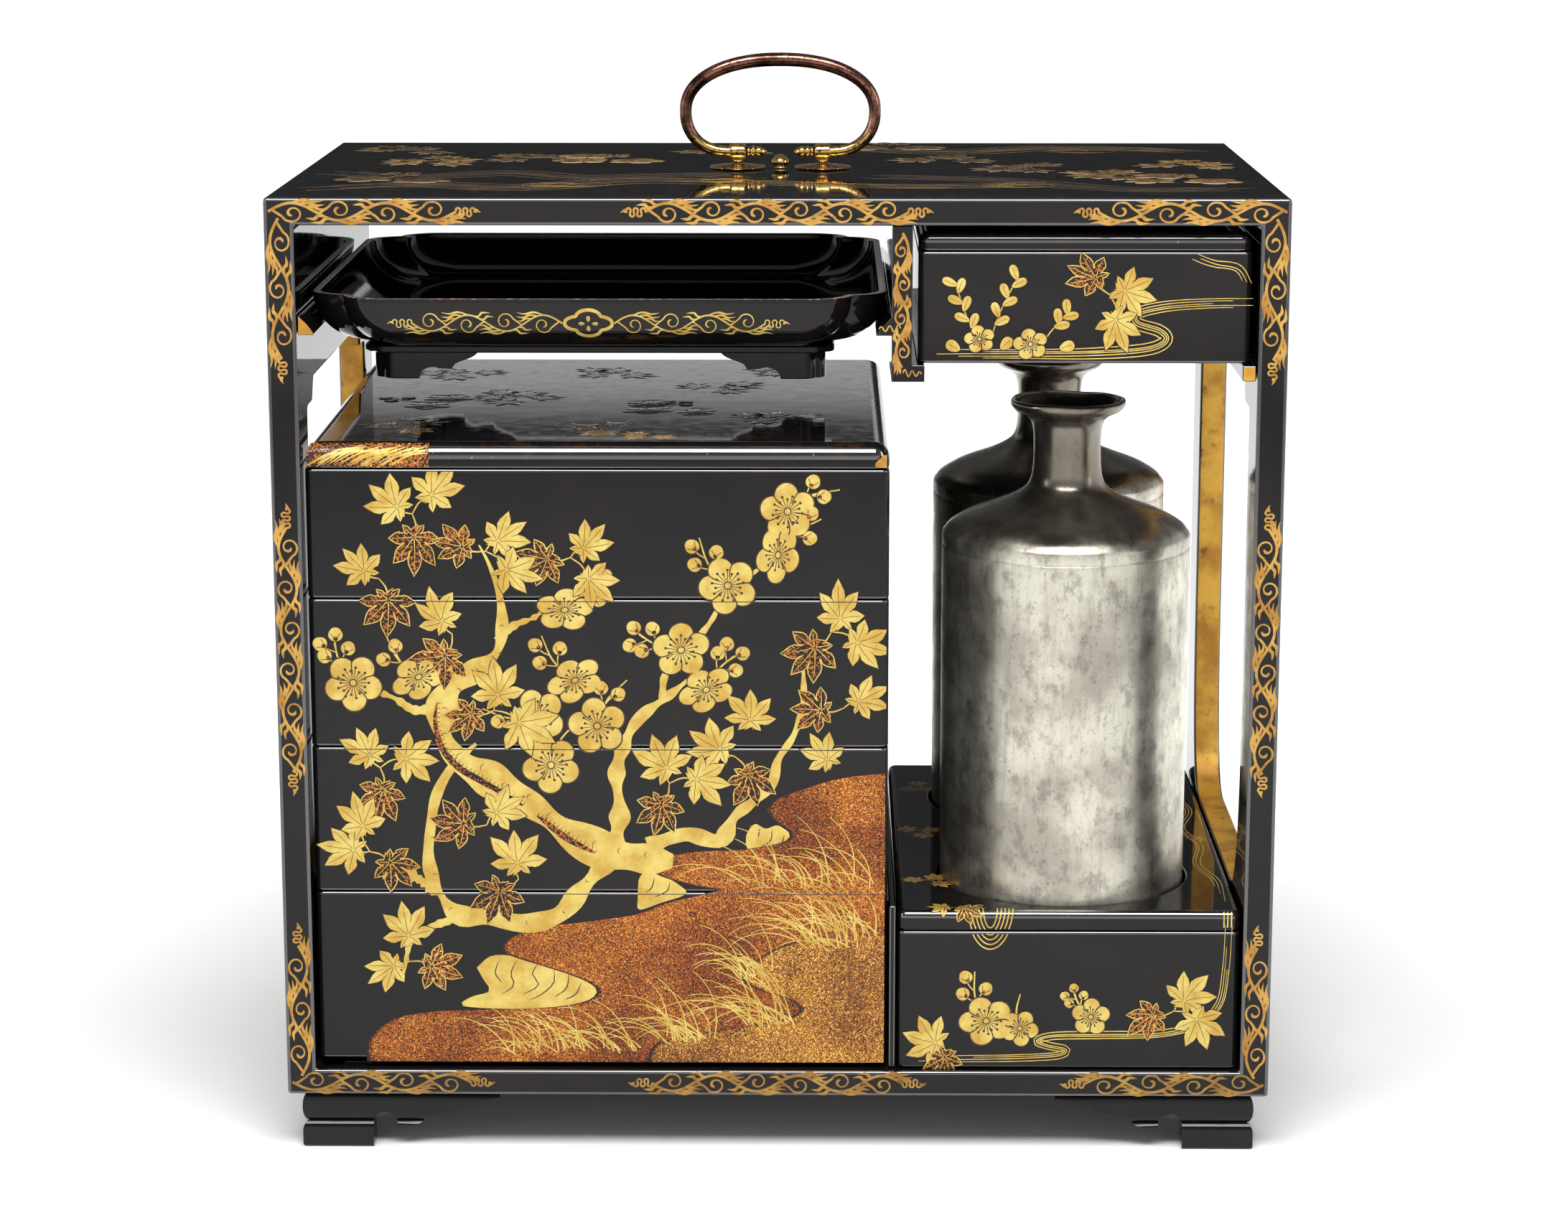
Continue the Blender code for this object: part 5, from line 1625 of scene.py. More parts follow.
    def scroll(self, start: tuple[float, float], end: tuple[float, float], width: float, flip: float = 1.0,
               tails: tuple[bool, bool] = (False, True), tone: Tone = SCROLL, pitch: float = 14.0,
               weight: float = 0.44) -> None:
        """A running vine, in millimetres.

        The stem is a sine wave. From each rise a spiral leaves into the hollow below the next crest, with a
        leaf of three lobes and one of two. Every second bulge is mirrored. An end can run out in a ribbon
        that turns to and fro by a cosine of its length, with a pointed tip.

        Args:
            start: where it begins.
            end: where it ends.
            width: its full width.
            flip: 1 or -1, the side of its first bulge.
            tails: whether each end has a ribbon.
            tone: its gold.
            pitch: about how long one bulge is.
            weight: half the stem's width.
        """
        begin, finish = np.array(start, dtype=float), np.array(end, dtype=float)
        total = np.linalg.norm(finish - begin)
        along = (finish - begin) / total
        side = np.array([-along[1], along[0]]) * flip
        half = width / 2.0
        low, high = width * tails[0], total - width * tails[1]
        units = max(int(round((high - low) / pitch)), 1)
        step = (high - low) / units

        def lay(points: Array, thick: float | Array) -> None:
            """Draws a line given as distance along and to the side."""
            spots = begin + points[:, :1] * along + np.clip(points[:, 1:], -half, half) * side
            self.stroke(spots * MM, np.asarray(thick) * MM, tone, ROCK_LIFT)

        distance = np.linspace(low, high, 14 * units)
        lay(pairs(distance, 0.74 * half * np.sin(np.pi * (distance - low) / step)), weight)
        swell = weight * np.interp(even(13), (0.0, 0.25, 0.5, 0.75, 0.88, 1.0),
                                   (0.4, 1.0, 1.3, 0.8, 0.45, 0.05))
        ending = weight * np.interp(even(34), (0.0, 0.8, 0.93, 1.0), (0.95, 0.55, 1.15, 0.5))
        turn = even(24)
        angle, shrink = np.pi * (1.0 + 2.45 * turn), 1.0 - 0.76 * turn ** 0.9
        curl = np.stack([0.52 * step + min(0.25 * step, 1.1 * half) * shrink * np.cos(angle),
                         0.86 * half * shrink * np.sin(angle) - 0.14 * half], axis=1)
        curl = smooth(np.concatenate([[(0.08 * step, 0.16 * half)], curl[1:]]), 34)
        leaves = (((0.46, 0.72), (0.74, 0.99), (1.00, 0.84), (1.20, 0.98)),
                  ((0.62, 0.66), (0.86, 0.74), (1.02, 0.52), (1.22, 0.60)),
                  ((0.80, 0.42), (0.98, 0.42), (1.08, 0.20), (1.20, 0.24)),
                  ((0.34, 0.62), (0.20, 0.66), (0.12, 0.94), (-0.10, 0.92)),
                  ((0.20, 0.40), (0.06, 0.38), (-0.02, 0.62), (-0.20, 0.56)))
        for index in range(units):
            foot, mirror = (low + index * step, 0.0), (1.0, (1.0, -1.0)[index % 2])
            lay((curl + foot) * mirror, ending)
            for leaf in leaves:
                if index > 0 or low > 0.0 or leaf[-1][0] > 0.0:
                    lay((smooth(np.array(leaf) * (step, half), 13) + foot) * mirror, swell)
        bearing = 1.85 * np.cos(np.linspace(0.0, np.pi * 5.0, 60))
        ribbon = np.cumsum(pairs(np.cos(bearing), 0.9 * np.sin(bearing)), axis=0)
        ribbon = (ribbon - ribbon[0]) * 0.78 * width / (ribbon[-1, 0] - ribbon[0, 0])
        run = even(7)
        for present, origin, way in zip(tails, (low, high), (-1.0, 1.0)):
            if present:
                lay(ribbon * (way, 1.0) + (origin, 0.0), 0.75 * weight)
                tip = pairs(origin + way * width * (0.76 + 0.30 * run), 0.10 * half * np.sin(4.0 * run))
                lay(tip, weight * np.array([0.5, 1.3, 1.5, 0.9, 0.6, 0.4, 0.05]))


@dataclass
class TierPicture:
    """Plum and maple over sprinkled hills, which runs across the front of all four tiers."""

    side: float = 0.9 * MM
    limbs: tuple = (
        ((116, 98, 2.4), (106, 99, 3.6), (95, 101, 3.8), (83, 107, 3.5), (74, 114, 3.2), (66, 120, 3.0),
         (56, 126, 3.4), (48, 131, 2.9), (43, 138, 3.0), (42, 147, 2.8), (45, 155, 2.5), (53, 161, 2.1),
         (60, 167, 1.7), (62, 176, 1.2), (61, 187, 0.7), (58, 196, 0.4), (55, 202, 0.2)),
        ((60, 171, 0.9), (66, 176, 0.8), (73, 179, 0.5), (80, 186, 0.3)),
        ((44, 150, 1.3), (34, 148, 1.0), (27, 152, 0.7), (19, 155, 0.4)),
        ((97, 103, 2.2), (99, 114, 1.7), (98, 127, 1.5), (101, 138, 1.5), (106, 146, 1.2), (115, 153, 0.9),
         (121, 158, 0.5)),
        ((113, 151, 0.8), (114, 160, 0.7), (121, 168, 0.6), (129, 178, 0.6), (134, 189, 0.5), (142, 193, 0.4),
         (150, 200, 0.3)),
        ((108, 103, 1.8), (120, 107, 1.8), (131, 105, 1.7), (136, 113, 1.4), (142, 118, 1.2), (148, 124, 1.1),
         (150, 132, 0.9), (155, 140, 0.8), (158, 150, 0.7), (158, 164, 0.4)),
        ((97, 101, 2.0), (92, 95, 2.4), (86, 88, 2.2), (79, 80, 2.1), (68, 77, 1.9), (56, 79, 2.0),
         (46, 80, 1.8), (40, 88, 1.5), (37, 98, 1.4), (38, 110, 1.2), (40, 120, 1.1), (45, 129, 0.9),
         (53, 137, 0.5)),
        ((40, 87.5, 1.4), (31, 93, 1.1), (22, 92.5, 0.7)),
        ((48, 79, 0.9), (38, 76, 0.8), (31, 71, 0.6), (28, 60, 0.4)),
    )
    coast: tuple = (
        (186, 127.6), (170, 126), (158, 122.5), (150, 119.5), (145.5, 115.5), (149, 111), (153.5, 107.5),
        (151, 104.5), (138, 102), (120, 101), (111, 98.5), (108.5, 96), (112, 93), (122, 90), (130, 88.6),
        (126, 87.2), (113, 84), (106, 81), (100, 79.5), (86, 77.5), (74, 76), (65, 73.5), (60, 69.8),
        (62, 66.5), (72, 63), (81, 60), (88, 57), (91, 54.2), (88, 51), (78, 48.8), (60, 47.8), (42, 47.3),
        (32, 46.4), (24, 44.5), (18.5, 40.5), (15.5, 36), (15.5, 30),
    )
    meadow: tuple = (
        (186, 73), (165, 72.5), (151, 69.5), (142, 64), (138, 58.8), (144, 54.5), (154, 51), (156.5, 47),
        (147, 43.5), (123, 39.5), (110, 36), (107, 30),
    )
    rocks: tuple = (
        ((139.5, 104), (140, 107.5), (142.5, 110.5), (146, 109), (150, 110), (155, 107), (153, 103.5),
         (147, 101.5), (141, 101.4)),
        ((104.5, 86), (105, 92), (107, 94), (112, 93.5), (118, 90), (120, 87), (112, 84), (105, 81.8)),
        ((52, 62), (57, 66), (66, 65.5), (80, 61.5), (91, 57), (91, 52.5), (82, 49), (62, 48), (47, 49),
         (50, 52), (56, 54), (54, 58)),
    )
    cracks: tuple = (
        ((86, 57), (84, 53), (80, 51)), ((82, 60), (81, 55), (77, 52)),
        ((77, 61.5), (77, 57), (73, 53), (69, 51)), ((72, 63.5), (70, 60), (72, 56), (67, 53)),
        ((65, 64.5), (63, 60), (64, 56), (60, 53)), ((59, 64), (58, 60), (60, 57)),
        ((152, 107), (151, 104), (148, 102.5)), ((148, 108.5), (147.5, 105), (144, 102.5)),
        ((144, 109), (143.6, 106)), ((115, 91), (114, 88), (110, 86)),
        ((110, 92.5), (109, 89), (107, 87.5)),
    )
    leaves: tuple = (
        (34, 212, 3, 2.4), (57, 200, 3, 0.6), (23, 191, 2, 3.0), (84, 198, 3, 0.8), (46, 173, 2, 2.0),
        (59, 148, 3, 1.0), (167, 174, 3, 1.2), (171, 149, 2, 0.4), (141, 144, 1, 1.6), (136, 133, 2, 2.8),
        (166, 131, 1, 1.6), (115, 124, 3, 2.0), (22, 129, 3, 2.4), (18, 101, 3, 3.4), (56, 110, 2, 1.0),
        (66, 92, 2, 1.4), (30, 64, 3, 3.6),
    )
    flowers: tuple = (
        (150, 199, 1, 3, 0.7), (134, 189, 1, 3, 2.1), (153, 213, 1, 2, 0.4), (82, 181, 1, 3, 0.5),
        (119, 168, 1, 4, 2.7), (127, 155, 1, 4, 0.8), (14, 157, 1, 4, 1.9), (35, 159, 1, 2, 2.2),
        (85, 158, 1, 3, 2.2), (92, 143, 1, 2, 1.0), (73, 146, 1, 1, 3.0), (77, 130, 1, 0, 1.0),
    )
    tufts: tuple = (
        (140, 183, 88.5, 26, 24), (158, 176, 68, 24, 32), (137, 148, 58, 16, 22), (140, 157, 41, 24, 30),
        (112, 129, 36, 22, 22), (62, 106, 32.5, 40, 20), (168, 184, 72, 14, 20),
    )

    def build(self) -> None:
        """Draws the whole picture once, then cuts it at the seams, so that each tier keeps its own part."""
        low, high = spans(*TIERS)
        picture = Picture(flat((low[0], low[1], 0.0), RIGHT, UP), 7)
        self.ground(picture, high[0] - low[0] - self.side)
        for index, limb in enumerate(self.limbs):
            path = picture.branch(limb, 60 if index else 110)
            if index in (0, 6):
                picture.bark(path, 1.8 if index else 3.4)
        for across, up, count, lean in self.leaves:
            picture.maples(across, up, count, 11.6, lean)
        for across, up, flowers, buds, lean in self.flowers:
            picture.plums(across, up, flowers, buds, 9.2, lean)
        for bank in self.tufts:
            picture.grass(*bank)
        picture.show("picture", TIERS)

    def ground(self, picture: Picture, right: float) -> None:
        """The rocks, then the hills between their coast and the right edge."""
        for rock in self.rocks:
            outline = smooth(np.array(rock + rock[:1]) * MM, 60)
            picture.fill(outline.mean(axis=0), outline, GOLD, ROCK_LIFT, 0.03 * MM)
        for crack in self.cracks:
            picture.line(np.array(crack) * MM, 0.2 * MM, INK, ROCK_LIFT + 2.0 * ABOVE, 8)
        for coast, tone, lift in ((self.coast, HILL, HILL_LIFT), (self.meadow, PALE_HILL, HILL_LIFT + ABOVE)):
            path = smooth(np.array(coast) * MM, 180)
            path = np.column_stack([np.minimum(path[:, 0], right), np.minimum.accumulate(path[:, 1])])
            picture.band(path, right, tone, lift, 2.0 * MM)


def wrap(node: str, table: Array) -> Mapping:
    """The front of a lid: across it, and up round its edge and on over its top.

    Args:
        node: the lid's CAD node.
        table: rows of inset and height, up its front.

    Returns:
        A function from points and lifts to places.
    """
    low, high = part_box(node)
    table = np.concatenate([table, [(100.0 * MM, high[2])]])
    length = np.concatenate([[0.0], np.cumsum(np.linalg.norm(np.diff(table, axis=0), axis=1))])
    outward = -leftward(table)
    outward[-2:] = (0.0, -1.0)

    def put(points: Array, lift: Array) -> Array:
        """Places points on the rounded edge."""
        inset, height, out, rise = (np.interp(points[..., 1], length, column)
                                    for column in (*table.T, *outward.T))
        return np.stack([low[0] + points[..., 0], low[1] + inset - lift * out, height - lift * rise], axis=-1)

    return put


@dataclass
class LidPicture:
    """The stack's lid: sprinkled gold at its front left, a rubbed right corner and thin leaves on top."""

    patch: float = 39.5

    def build(self) -> None:
        """Draws the edge and the top."""
        low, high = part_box("tier_lid")
        picture = Picture(wrap("tier_lid", np.array(TierStack().lid.profile())[4:, :2]), 3)
        rows = np.linspace(9.2 * MM, 0.5 * MM, 14)
        left = np.column_stack([0.8 * MM + np.maximum(rows - 6.0 * MM, 0.0) * 0.4, rows])
        picture.band(left, self.patch * MM, SPRINKLE, ROCK_LIFT)
        for index in range(30):
            foot = np.array([1.5 + 0.95 * index + picture.random.uniform(-1.0, 1.0),
                             picture.random.uniform(0.4, 2.6)])
            reach = picture.random.uniform(8.0, 16.0)
            path = [foot, foot + (0.45 * reach, 3.2), foot + (reach, picture.random.uniform(3.6, 6.4))]
            picture.line(np.minimum(path, (self.patch - 0.3, 9.0)) * MM, 0.24 * MM, GOLD, HILL_LIFT)
        rows = np.linspace(4.6 * MM, 0.6 * MM, 6)
        right = high[0] - low[0] - 0.9 * MM
        inner = np.column_stack([right - (2.6 + 1.2 * np.sin(rows / MM)) * MM, rows])
        picture.band(inner, right, SCROLL, ROCK_LIFT, 0.6 * MM)
        picture.show("lid_edge_picture")
        top = Picture(flat((low[0], low[1], high[2]), RIGHT, BACKWARD), 11)
        for across, along, count, lean in (
                (30, 36, 4, 0.6), (92, 30, 3, 2.4), (150, 52, 4, 1.8), (60, 96, 5, 1.0), (128, 118, 4, 0.2),
                (36, 150, 4, 2.0), (150, 156, 3, 4.0), (90, 152, 4, 1.4)):
            top.maples(across, along, count, 10.5, lean, THIN)
        top.plums(112, 70, 3, 4, 9.0, 1.2, THIN)
        top.plums(30, 84, 2, 3, 9.0, 2.4, THIN)
        top.maples(108, 14.5, 3, 6.5, 3.6, SUNKEN)
        top.show("lid_top_picture")


@dataclass
class CaseScrolls:
    """Running vines on the front and back edges of the case and on the divider."""

    corner_reach: float = 67.5
    middle_half: float = 48.3
    post_reach: float = 58.0
    middle_post: tuple[float, float] = (120.8, 215.5)

    def frame(self, picture: Picture, plain: bool) -> None:
        """The vines round one end of the case.

        Args:
            picture: the face, in coordinates across and up.
            plain: whether only the corners get them.
        """
        low, high = (corner / MM for corner in spans(*BOARDS))
        base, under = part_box("case_base")[1][2] / MM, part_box("case_top")[0][2] / MM
        half, board, both = high[0], 7.3, (True, True)
        top, bottom = (high[2] + under) / 2.0, (low[2] + base) / 2.0
        for level, flip, tone in ((top, 1.0, SCROLL), (bottom, -1.0, FADED)):
            for side in (-1.0, 1.0):
                start, end = (side * (half - 1.6), level), (side * (half - self.corner_reach), level)
                picture.scroll(start, end, board, -flip * side, tone=tone)
            if not plain:
                picture.scroll((-self.middle_half, level), (self.middle_half, level), board, flip, both,
                               tone, 13.6)
        for side in (-1.0, 1.0):
            across = side * (half - CaseBody().side_thick / MM / 2.0)
            picture.scroll((across, high[2] - 6.4), (across, high[2] - self.post_reach), 7.4, side)
            picture.scroll((across, low[2] + 6.4), (across, low[2] + self.post_reach), 7.4, side, pitch=14.5)
            if not plain:
                first, last = self.middle_post
                picture.scroll((across, first), (across, last), 7.4, side, both, pitch=14.5)

    def build(self) -> None:
        """Draws the front, a plainer back and the divider's front."""
        low, high = spans(*BOARDS)
        for along, across, seed, name in ((low[1], RIGHT, 5, "front_scrolls"),
                                          (high[1], LEFT, 6, "back_scrolls")):
            picture = Picture(flat((0.0, along, 0.0), across, UP), seed)
            self.frame(picture, name == "back_scrolls")
            picture.show(name)
        near, far = (corner / MM for corner in spans("hanging_divider"))
        strip = Picture(flat((0.0, near[1] * MM, 0.0), RIGHT, UP), 8)
        middle = sum(InnerWoodwork().divider) / 2.0 / MM
        strip.scroll((middle, far[2] - 2.0), (middle, near[2] + 4.5), 5.0, 1.0, (False, False), pitch=11.5)
        share = even(26)
        for start, end in (((middle + 0.4, near[2] + 2.9), (far[0] - 1.0, near[2] + 2.6)),
                           ((middle - 0.5, 271.6), (near[0] + 0.9, 271.4))):
            run = np.linspace(start, end, 26)
            run[:, 1] += 1.25 * np.sin(share * np.pi * 5.0) * (1.0 - 0.5 * share)
            strip.stroke(run * MM, 0.22 * MM, SCROLL, ROCK_LIFT)
        strip.show("divider_scroll")


@dataclass
class TrayPicture:
    """A four-lobed flower between two thin vines on the tray's front, and the same at its back."""

    centre: float = -59.3
    level: float = 272.6
    reach: float = 63.0

    def side(self, front: bool) -> Mapping:
        """The tray's front or back side: across it and by height, on the quarter ellipse of its flare."""
        low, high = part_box("tray")
        flare, depth = Tray().flare, high[2] - low[2]

        def put(points: Array, lift: Array) -> Array:
            """Places points on the flare."""
            sine = np.clip((high[2] - points[..., 1]) / depth, 0.0, 1.0)
            cosine = np.sqrt(1.0 - sine ** 2)
            out, down = depth * cosine, flare * sine
            size = np.maximum(np.hypot(out, down), 1e-9)
            inset = flare * (1.0 - cosine) - lift * out / size
            along = low[1] + inset if front else high[1] - inset
            across = points[..., 0] if front else 2.0 * self.centre * MM - points[..., 0]
            return np.stack([across, along, points[..., 1] - lift * down / size], axis=-1)

        return put

    def build(self) -> None:
        """Draws both sides."""
        for front, name in ((True, "front"), (False, "back")):
            picture = Picture(self.side(front), 9)
            middle = np.array([self.centre, self.level]) * MM
            shape = flower(4, 2.9, 3.1) * (1.25 * MM, 0.74 * MM)
            picture.stroke(middle + np.concatenate([shape, shape[:1]]), 0.55 * MM, GOLD, ROCK_LIFT)
            for index in range(4):
                angle = math.radians(90.0 * index)
                picture.round_leaf(middle + heading(angle) * (1.3 * MM, 0.8 * MM), 0.95 * MM, angle, slim=0.6)
            for way in (-1.0, 1.0):
                start, end = self.centre + way * 8.2, self.centre + way * self.reach
                picture.scroll((start, self.level), (end, self.level), 7.4, way, (False, True), GOLD, 13.0,
                               0.27)
            picture.show("tray_%s_scroll" % name)


@dataclass
class SmallPictures:
    """The small box, the bottle box, the case's top and the plainer hidden sides."""

    def small_box(self) -> None:
        """Sprigs of round leaves, maple and a stream."""
        picture = Picture(flat((0.0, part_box("small_box")[0][1], 0.0), RIGHT, UP), 21)
        picture.water(((149, 279.4), (136, 279.2), (122, 278.2), (113, 276), (113, 273), (120, 270.6),
                       (122, 267.6), (116, 264.8), (98, 263.6), (72, 263.4), (50, 263.2)), 5, 0.72, GOLD,
                      180, 0.17)
        picture.water(((147.5, 285), (144, 290), (137, 291.6), (130, 294.2)), 3, 1.1, half=0.15)
        picture.maples(104, 282, 3, 10.8, 0.2)
        for foot, tip, leaves in (((65, 264.5), (56, 285), 6), ((66, 264), (75, 287), 6),
                                  ((82, 263.8), (91, 276), 4)):
            path = smooth(np.array([foot, ((foot[0] + tip[0]) / 2.0 - 1.0, (foot[1] + tip[1]) / 2.0), tip])
                          * MM, 20)
            picture.stroke(path, 0.2 * MM, GOLD, BRANCH_LIFT)
            lean = math.atan2(tip[1] - foot[1], tip[0] - foot[0])
            for index in range(leaves):
                spot, turn = path[19 - 5 * (index // 2) - 2 * (index % 2)], lean + (0.75, -0.75)[index % 2]
                picture.round_leaf(spot, 2.5 * MM, turn, LEAF_LIFT + 0.05 * index * MM, 0.52)
        for across, up, size in ((63.5, 268.0, 4.8), (79.5, 266.4, 5.4)):
            picture.blossom(np.array([across, up]) * MM, size * MM, 0.4, LEAF_LIFT + 0.3 * MM, GOLD, 0.9)
        for across, up, turn in ((57.0, 264.6, 2.6), (70.5, 265.0, 0.8), (89.0, 265.0, 0.3)):
            picture.round_leaf(np.array([across, up]) * MM, 2.4 * MM, turn)
        picture.show("small_box_picture")

    def bottle_box(self) -> None:
        """Plum, maple and a stream on the box, and a whirl with leaves on its lid."""
        low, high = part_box("bottle_box")
        picture = Picture(flat((0.0, low[1], 0.0), RIGHT, UP), 22)
        picture.water(((146.2, 77.2), (145.6, 62), (143.6, 50), (136, 43), (124, 40), (106, 39.6),
                       (90, 39.4), (84.6, 37.6), (88, 36), (94, 34.6), (91, 32.8), (78, 32), (60, 31.6),
                       (46, 31)), 4, 0.72, GOLD, 200, 0.17)
        picture.plums(68, 44.5, 1, 3, 8.8, 1.8)
        picture.plums(79, 42, 1, 0, 6.0)
        picture.plums(102, 46, 1, 4, 6.2, 2.1)
        picture.maples(129, 48, 3, 10.6, 0.9)
        picture.maples(54, 36, 2, 9.6, 2.4, spread=0.4)
        self.loops(picture, np.array([69.0, high[2] / MM - 0.5]), -20.0, -0.2)
        picture.show("bottle_box_picture")
        low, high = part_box("bottle_box_lid")
        rows = [(0.0, low[2])] + [row[:2] for row in quarter(0.0, high[2], BottleBox().edge, "top", 6)]
        rim = Picture(wrap("bottle_box_lid", np.array(rows)), 25)
        start = 69.0 - low[0] / MM
        self.loops(rim, np.array([start, 0.0]), 0.3, 20.0)
        for index in range(3):
            across = 144.6 + 1.2 * index - low[0] / MM
            rim.stroke(np.linspace((across, 1.2), (across, 6.5), 12) * MM, 0.22 * MM, GOLD, ROCK_LIFT)
        rim.eddy(start - 3.2, 11.0, 2.6, 3, 0.9, GOLD)
        rim.maples(start - 12.0, 9.5, 2, 6.4, 3.2, spread=0.6)
        rim.show("bottle_lid_edge_picture")
        top = Picture(flat((0.0, 0.0, high[2]), RIGHT, BACKWARD), 23)
        top.water(((145, -84), (145.5, -60), (141, -40), (144, -16), (140, 6), (145, 30), (141, 56),
                   (144, 82)), 3, 1.2)
        for across, along, count, lean in ((50, -60, 3, 0.8), (49, 2, 3, 0.2), (51, 62, 3, 5.4),
                                           (141, -3, 2, 2.6)):
            top.maples(across, along, count, 6.0, lean, SUNKEN)
        top.show("bottle_lid_picture")

    @staticmethod
    def loops(picture: Picture, middle: Array, bottom: float, top: float) -> None:
        """Nested half ellipses that hang from a lid over the seam below it, in millimetres.

        Args:
            picture: what they are drawn in.
            middle: their centre line and the seam.
            bottom: how far above the seam they begin.
            top: how far above the seam they end.
        """
        for index in range(5):
            wide, deep = 7.4 - 1.25 * index, 14.5 - 1.6 * index
            for first in (180.0, 270.0):
                cosine, sine = arc(first, first + 90.0, 40)
                path = pairs(wide * cosine, 9.0 + deep * sine)
                path = path[(path[:, 1] > bottom) & (path[:, 1] < top)]
                if len(path) > 2:
                    picture.stroke((middle + path) * MM, 0.21 * MM, GOLD, ROCK_LIFT)

    @staticmethod
    def case_top() -> None:
        """Leaves and flowers over flowing water."""
        picture = Picture(flat((0.0, 0.0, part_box("case_top")[1][2]), RIGHT, BACKWARD), 24)
        for tone, lines, gap, course in (
                (SUNKEN, 6, 3.0,
                 ((-152, -70), (-118, -56), (-82, -66), (-48, -44), (-6, -50), (40, -62), (88, -54))),
                (THIN, 5, 3.2, ((-150, -16), (-120, -30), (-90, -18), (-64, -34), (-28, -24), (-4, -36))),
                (SUNKEN, 5, 3.6, ((22, 74), (60, 62), (98, 76), (150, 66))),
                (THIN, 5, 3.0, ((30, -28), (70, -40), (112, -72), (152, -66)))):
            picture.water(course, lines, gap, tone, 90, 0.36)
        for whirl in ((-70, -56, 16, 5), (-14, -42, 14, 4), (76, -58, 13, 4), (104, 66, 14, 4)):
            picture.eddy(*whirl, 0.6, SUNKEN)
        for across, along, count, lean, tone in (
                (-118, 26, 5, 0.4, SUNKEN), (-86, 36, 4, 1.4, THIN), (-132, 66, 4, 1.0, THIN),
                (112, -20, 5, 1.6, SUNKEN), (84, 2, 4, 2.4, THIN), (138, 12, 4, 0.6, SUNKEN),
                (-20, 62, 4, 1.0, THIN), (56, 34, 3, 1.0, THIN)):
            picture.maples(across, along, count, 12.0, lean, tone)
        for across, along, flowers, tone in ((-62, 30, 3, SUNKEN), (128, -42, 3, SUNKEN),
                                             (-128, -38, 2, THIN), (36, 78, 2, THIN)):
            picture.plums(across, along, flowers, 4, 10.0, 1.2, tone)
        picture.show("case_top_picture")

    @staticmethod
    def hidden_sides() -> None:
        """A stream and a few leaves below each window, and one spray on the back of each box."""
        low, high = spans(*BOARDS)
        for sign, edge, name, seed in ((1.0, high[0], "right", 31), (-1.0, low[0], "left", 32)):
            picture = Picture(flat((edge, 0.0, 0.0), (0.0, sign, 0.0), UP), seed)
            picture.water(((-92, 46), (-50, 36), (-8, 48), (36, 38), (90, 50)), 5, 2.2, SCROLL, 90, 0.28)
            picture.eddy(-20, 44, 10, 3, 0.5, SCROLL)
            picture.maples(-66, 52, 4, 9.0, 1.0)
            picture.plums(40, 52, 3, 4, 8.0, 1.2)
            picture.show("case_side_%s_picture" % name)
        stack, *boxes = (Picture(flat((0.0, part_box(node)[1][1], 0.0), LEFT, UP), seed)
                         for node, seed in (("tier_1", 33), ("bottle_box", 34), ("small_box", 35)))
        stack.branch(((134, 40, 2.2), (118, 66, 1.8), (96, 84, 1.4), (84, 108, 1.0), (62, 126, 0.6),
                      (50, 146, 0.4)))
        stack.branch(((118, 66, 1.4), (124, 92, 1.0), (112, 118, 0.7), (116, 150, 0.4)))
        for across, up in ((52, 150), (84, 104), (116, 152), (126, 96), (96, 60)):
            stack.maples(across, up, 4, 8.8, 1.4)
        stack.show("back_picture", TIERS)
        for picture, across, up, name in zip(boxes, (-90.0, -92.0), (46.0, 276.0),
                                             ("bottle_box", "small_box")):
            picture.maples(across, up, 3, 7.0, 1.0)
            picture.show(name + "_back_picture")

    def build(self) -> None:
        """Draws them all."""
        self.small_box()
        self.bottle_box()
        self.case_top()
        self.hidden_sides()


# The studio


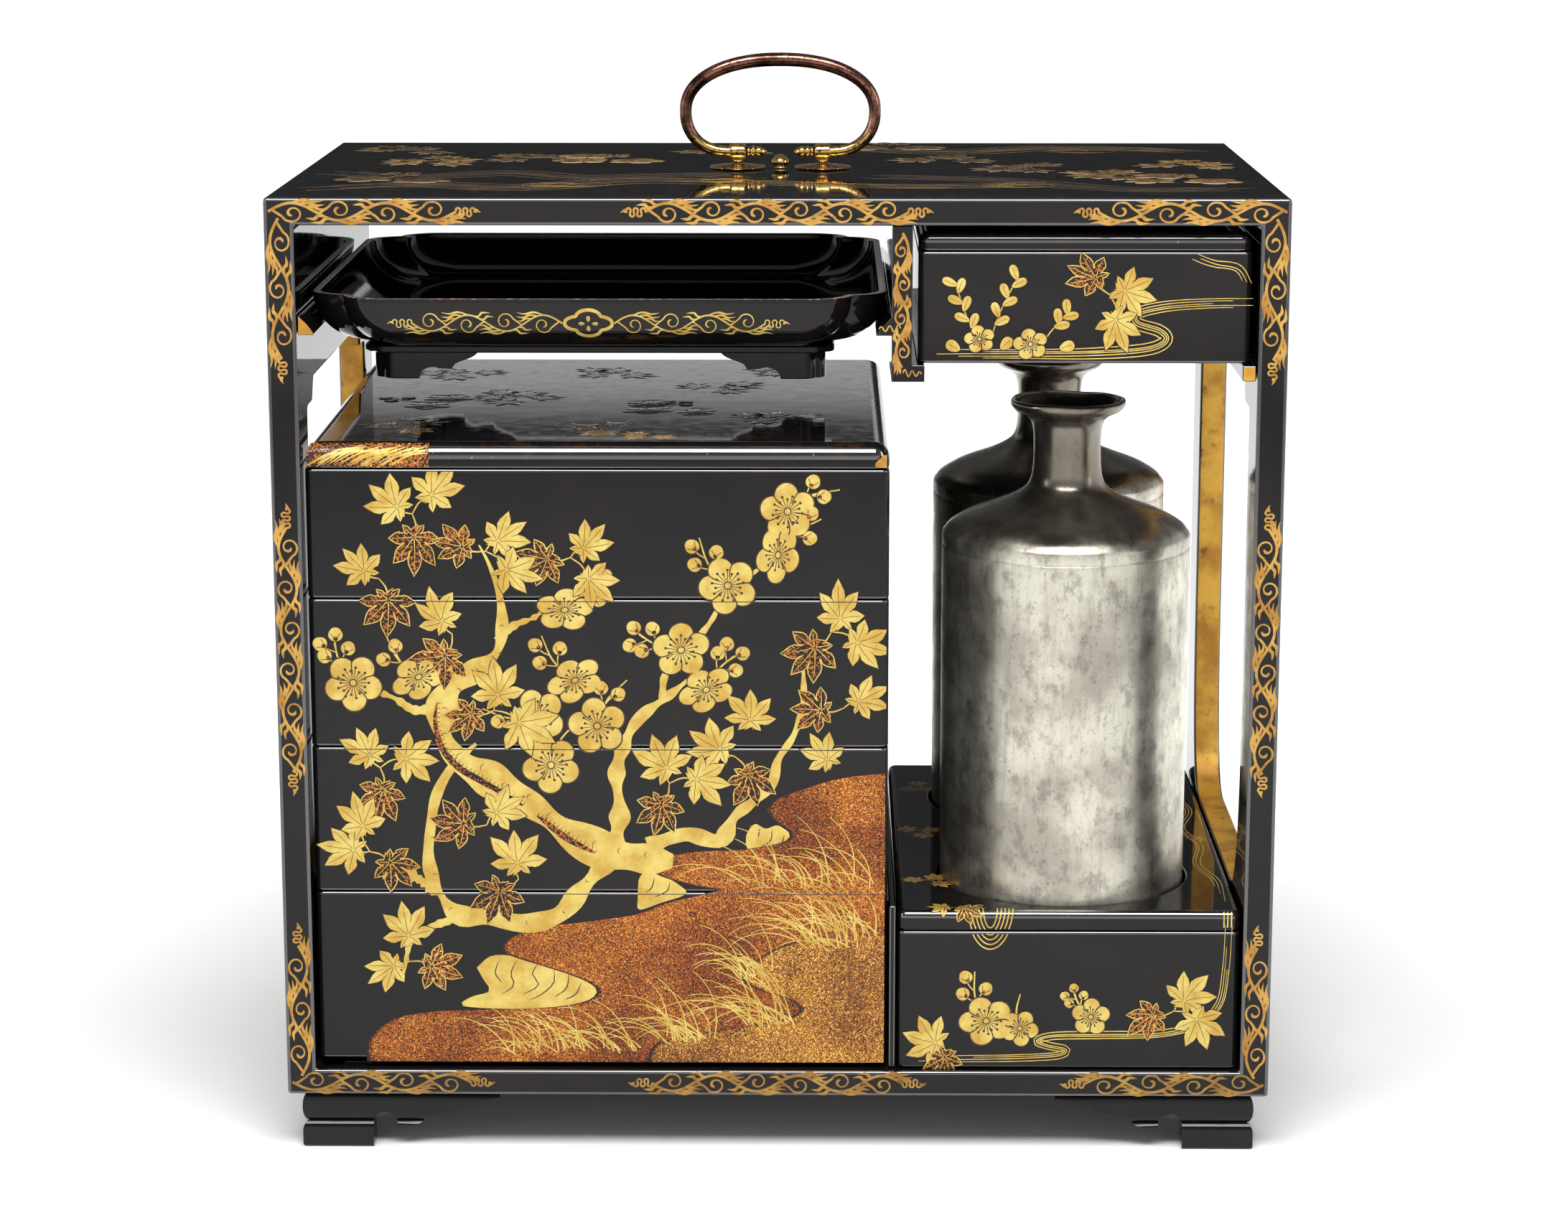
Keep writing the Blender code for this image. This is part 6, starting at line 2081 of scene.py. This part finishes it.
@dataclass
class Studio:
    """A pale table, soft lights and the camera that took the picture."""

    focal_pixels: float = 5268.0
    image_width: float = 2184.0
    sensor: float = 36.0
    camera_place: tuple[float, float, float] = (13.6 * MM, -1274.0 * MM, 431.4 * MM)
    camera_pitch: float = math.radians(-11.943)
    camera_yaw: float = math.radians(-0.556)
    around: tuple = ((0.0, 1.15), (0.25, 1.0), (0.38, 0.25), (1.0, 0.25))
    behind: tuple = ((0.0, 1.15), (0.004, 1.1), (0.008, 0.03), (0.118, 0.03), (0.133, 0.8),
                     (0.151, 0.64), (0.16, 0.06), (1.0, 0.25))

    def camera(self) -> None:
        """Stands in front of the case, a little above it, looking down at it."""
        data = bpy.data.cameras.new("camera")
        data.sensor_width = self.sensor
        data.lens = self.focal_pixels / self.image_width * self.sensor
        made = link("camera", data)
        made.location = self.camera_place
        made.rotation_euler = (math.radians(90.0) + self.camera_pitch, 0.0, -self.camera_yaw)
        bpy.context.scene.camera = made

    @staticmethod
    def light(name: str, spot: tuple[float, ...], aim: tuple[float, ...], size: tuple[float, float],
              power: float) -> None:
        """A soft rectangular light.

        Args:
            name: its name.
            spot: where it hangs.
            aim: where it points.
            size: its width and height.
            power: in watts.
        """
        data = bpy.data.lights.new(name, "AREA")
        data.shape, data.energy = "RECTANGLE", power
        data.size, data.size_y = size
        made = link(name, data)
        made.location = spot
        made.rotation_euler = (Vector(aim) - Vector(spot)).to_track_quat("-Z", "Y").to_euler()

    def sky(self) -> None:
        """A dome, bright near the horizon and dim above, with a dark wall low behind the table."""
        world = bpy.data.worlds.new("studio")
        world.use_nodes = True
        tree = world.node_tree
        spot = add(tree, "TexCoord", {}).outputs["Generated"]
        axes = add(tree, "SeparateXYZ", {"Vector": spot})
        ramps = []
        for stops in (self.around, self.behind):
            ramp = add(tree, "ValToRGB", {"Fac": axes.outputs[2]})
            elements = ramp.color_ramp.elements
            while len(elements) < len(stops):
                elements.new(0.5)
            for element, (level, grey) in zip(elements, stops):
                element.position, element.color = level, (grey, grey, grey, 1.0)
            ramps.append(ramp.outputs[0])
        back = add(tree, "MapRange", {"Value": axes.outputs[1], "From Min": 0.75, "From Max": 0.85},
                   clamp=True)
        light = add(tree, "Mix", {0: back.outputs[0], 6: ramps[0], 7: ramps[1]}, data_type="RGBA")
        feed(tree, tree.nodes["Background"], {"Color": light.outputs[2]})
        bpy.context.scene.world = world

    def build(self) -> None:
        """Sets the table, the sky, the lights and the camera."""
        near, far, half = -2.4, 12.0, 6.0
        surface = Surface()
        surface.grid(np.array([[(-half, near, 0.0), (half, near, 0.0)],
                               [(-half, far, 0.0), (half, far, 0.0)]]))
        mesh = surface.mesh("table")
        mesh.materials.append(PaleFloor().material())
        link("table", mesh)
        self.sky()
        bpy.context.scene.view_settings.view_transform = "Standard"
        self.light("softbox", (0.0, -0.85, 1.4), (0.0, 0.0, 0.15), (1.1, 0.6), 27.0)
        for side, name in ((-1.0, "left_strip"), (1.0, "right_strip")):
            self.light(name, (1.5 * side, -0.5, 0.8), (0.0, 0.0, 0.2), (0.25, 0.9), 5.0)
        self.camera()


def main() -> None:
    """Builds every sub-assembly in order and reports it."""
    logging.basicConfig(level=logging.INFO, format="%(name)s %(message)s", stream=sys.stdout)
    parts = (Studio(), CaseBody(), InnerWoodwork(), BracketFeet(), Fittings(), TierStack(), Tray(),
             LacqueredBox("small_box", 3.6 * MM, 3.6 * MM),
             LacqueredLid("small_box_lid", 3.6 * MM, 4.0 * MM, 3.4 * MM), BottleBox(),
             Bottle("bottle_front", 1), Bottle("bottle_rear", 4), TierPicture(), LidPicture(), CaseScrolls(),
             TrayPicture(), SmallPictures())
    for part in parts:
        part.build()


if __name__ == "__main__":
    main()
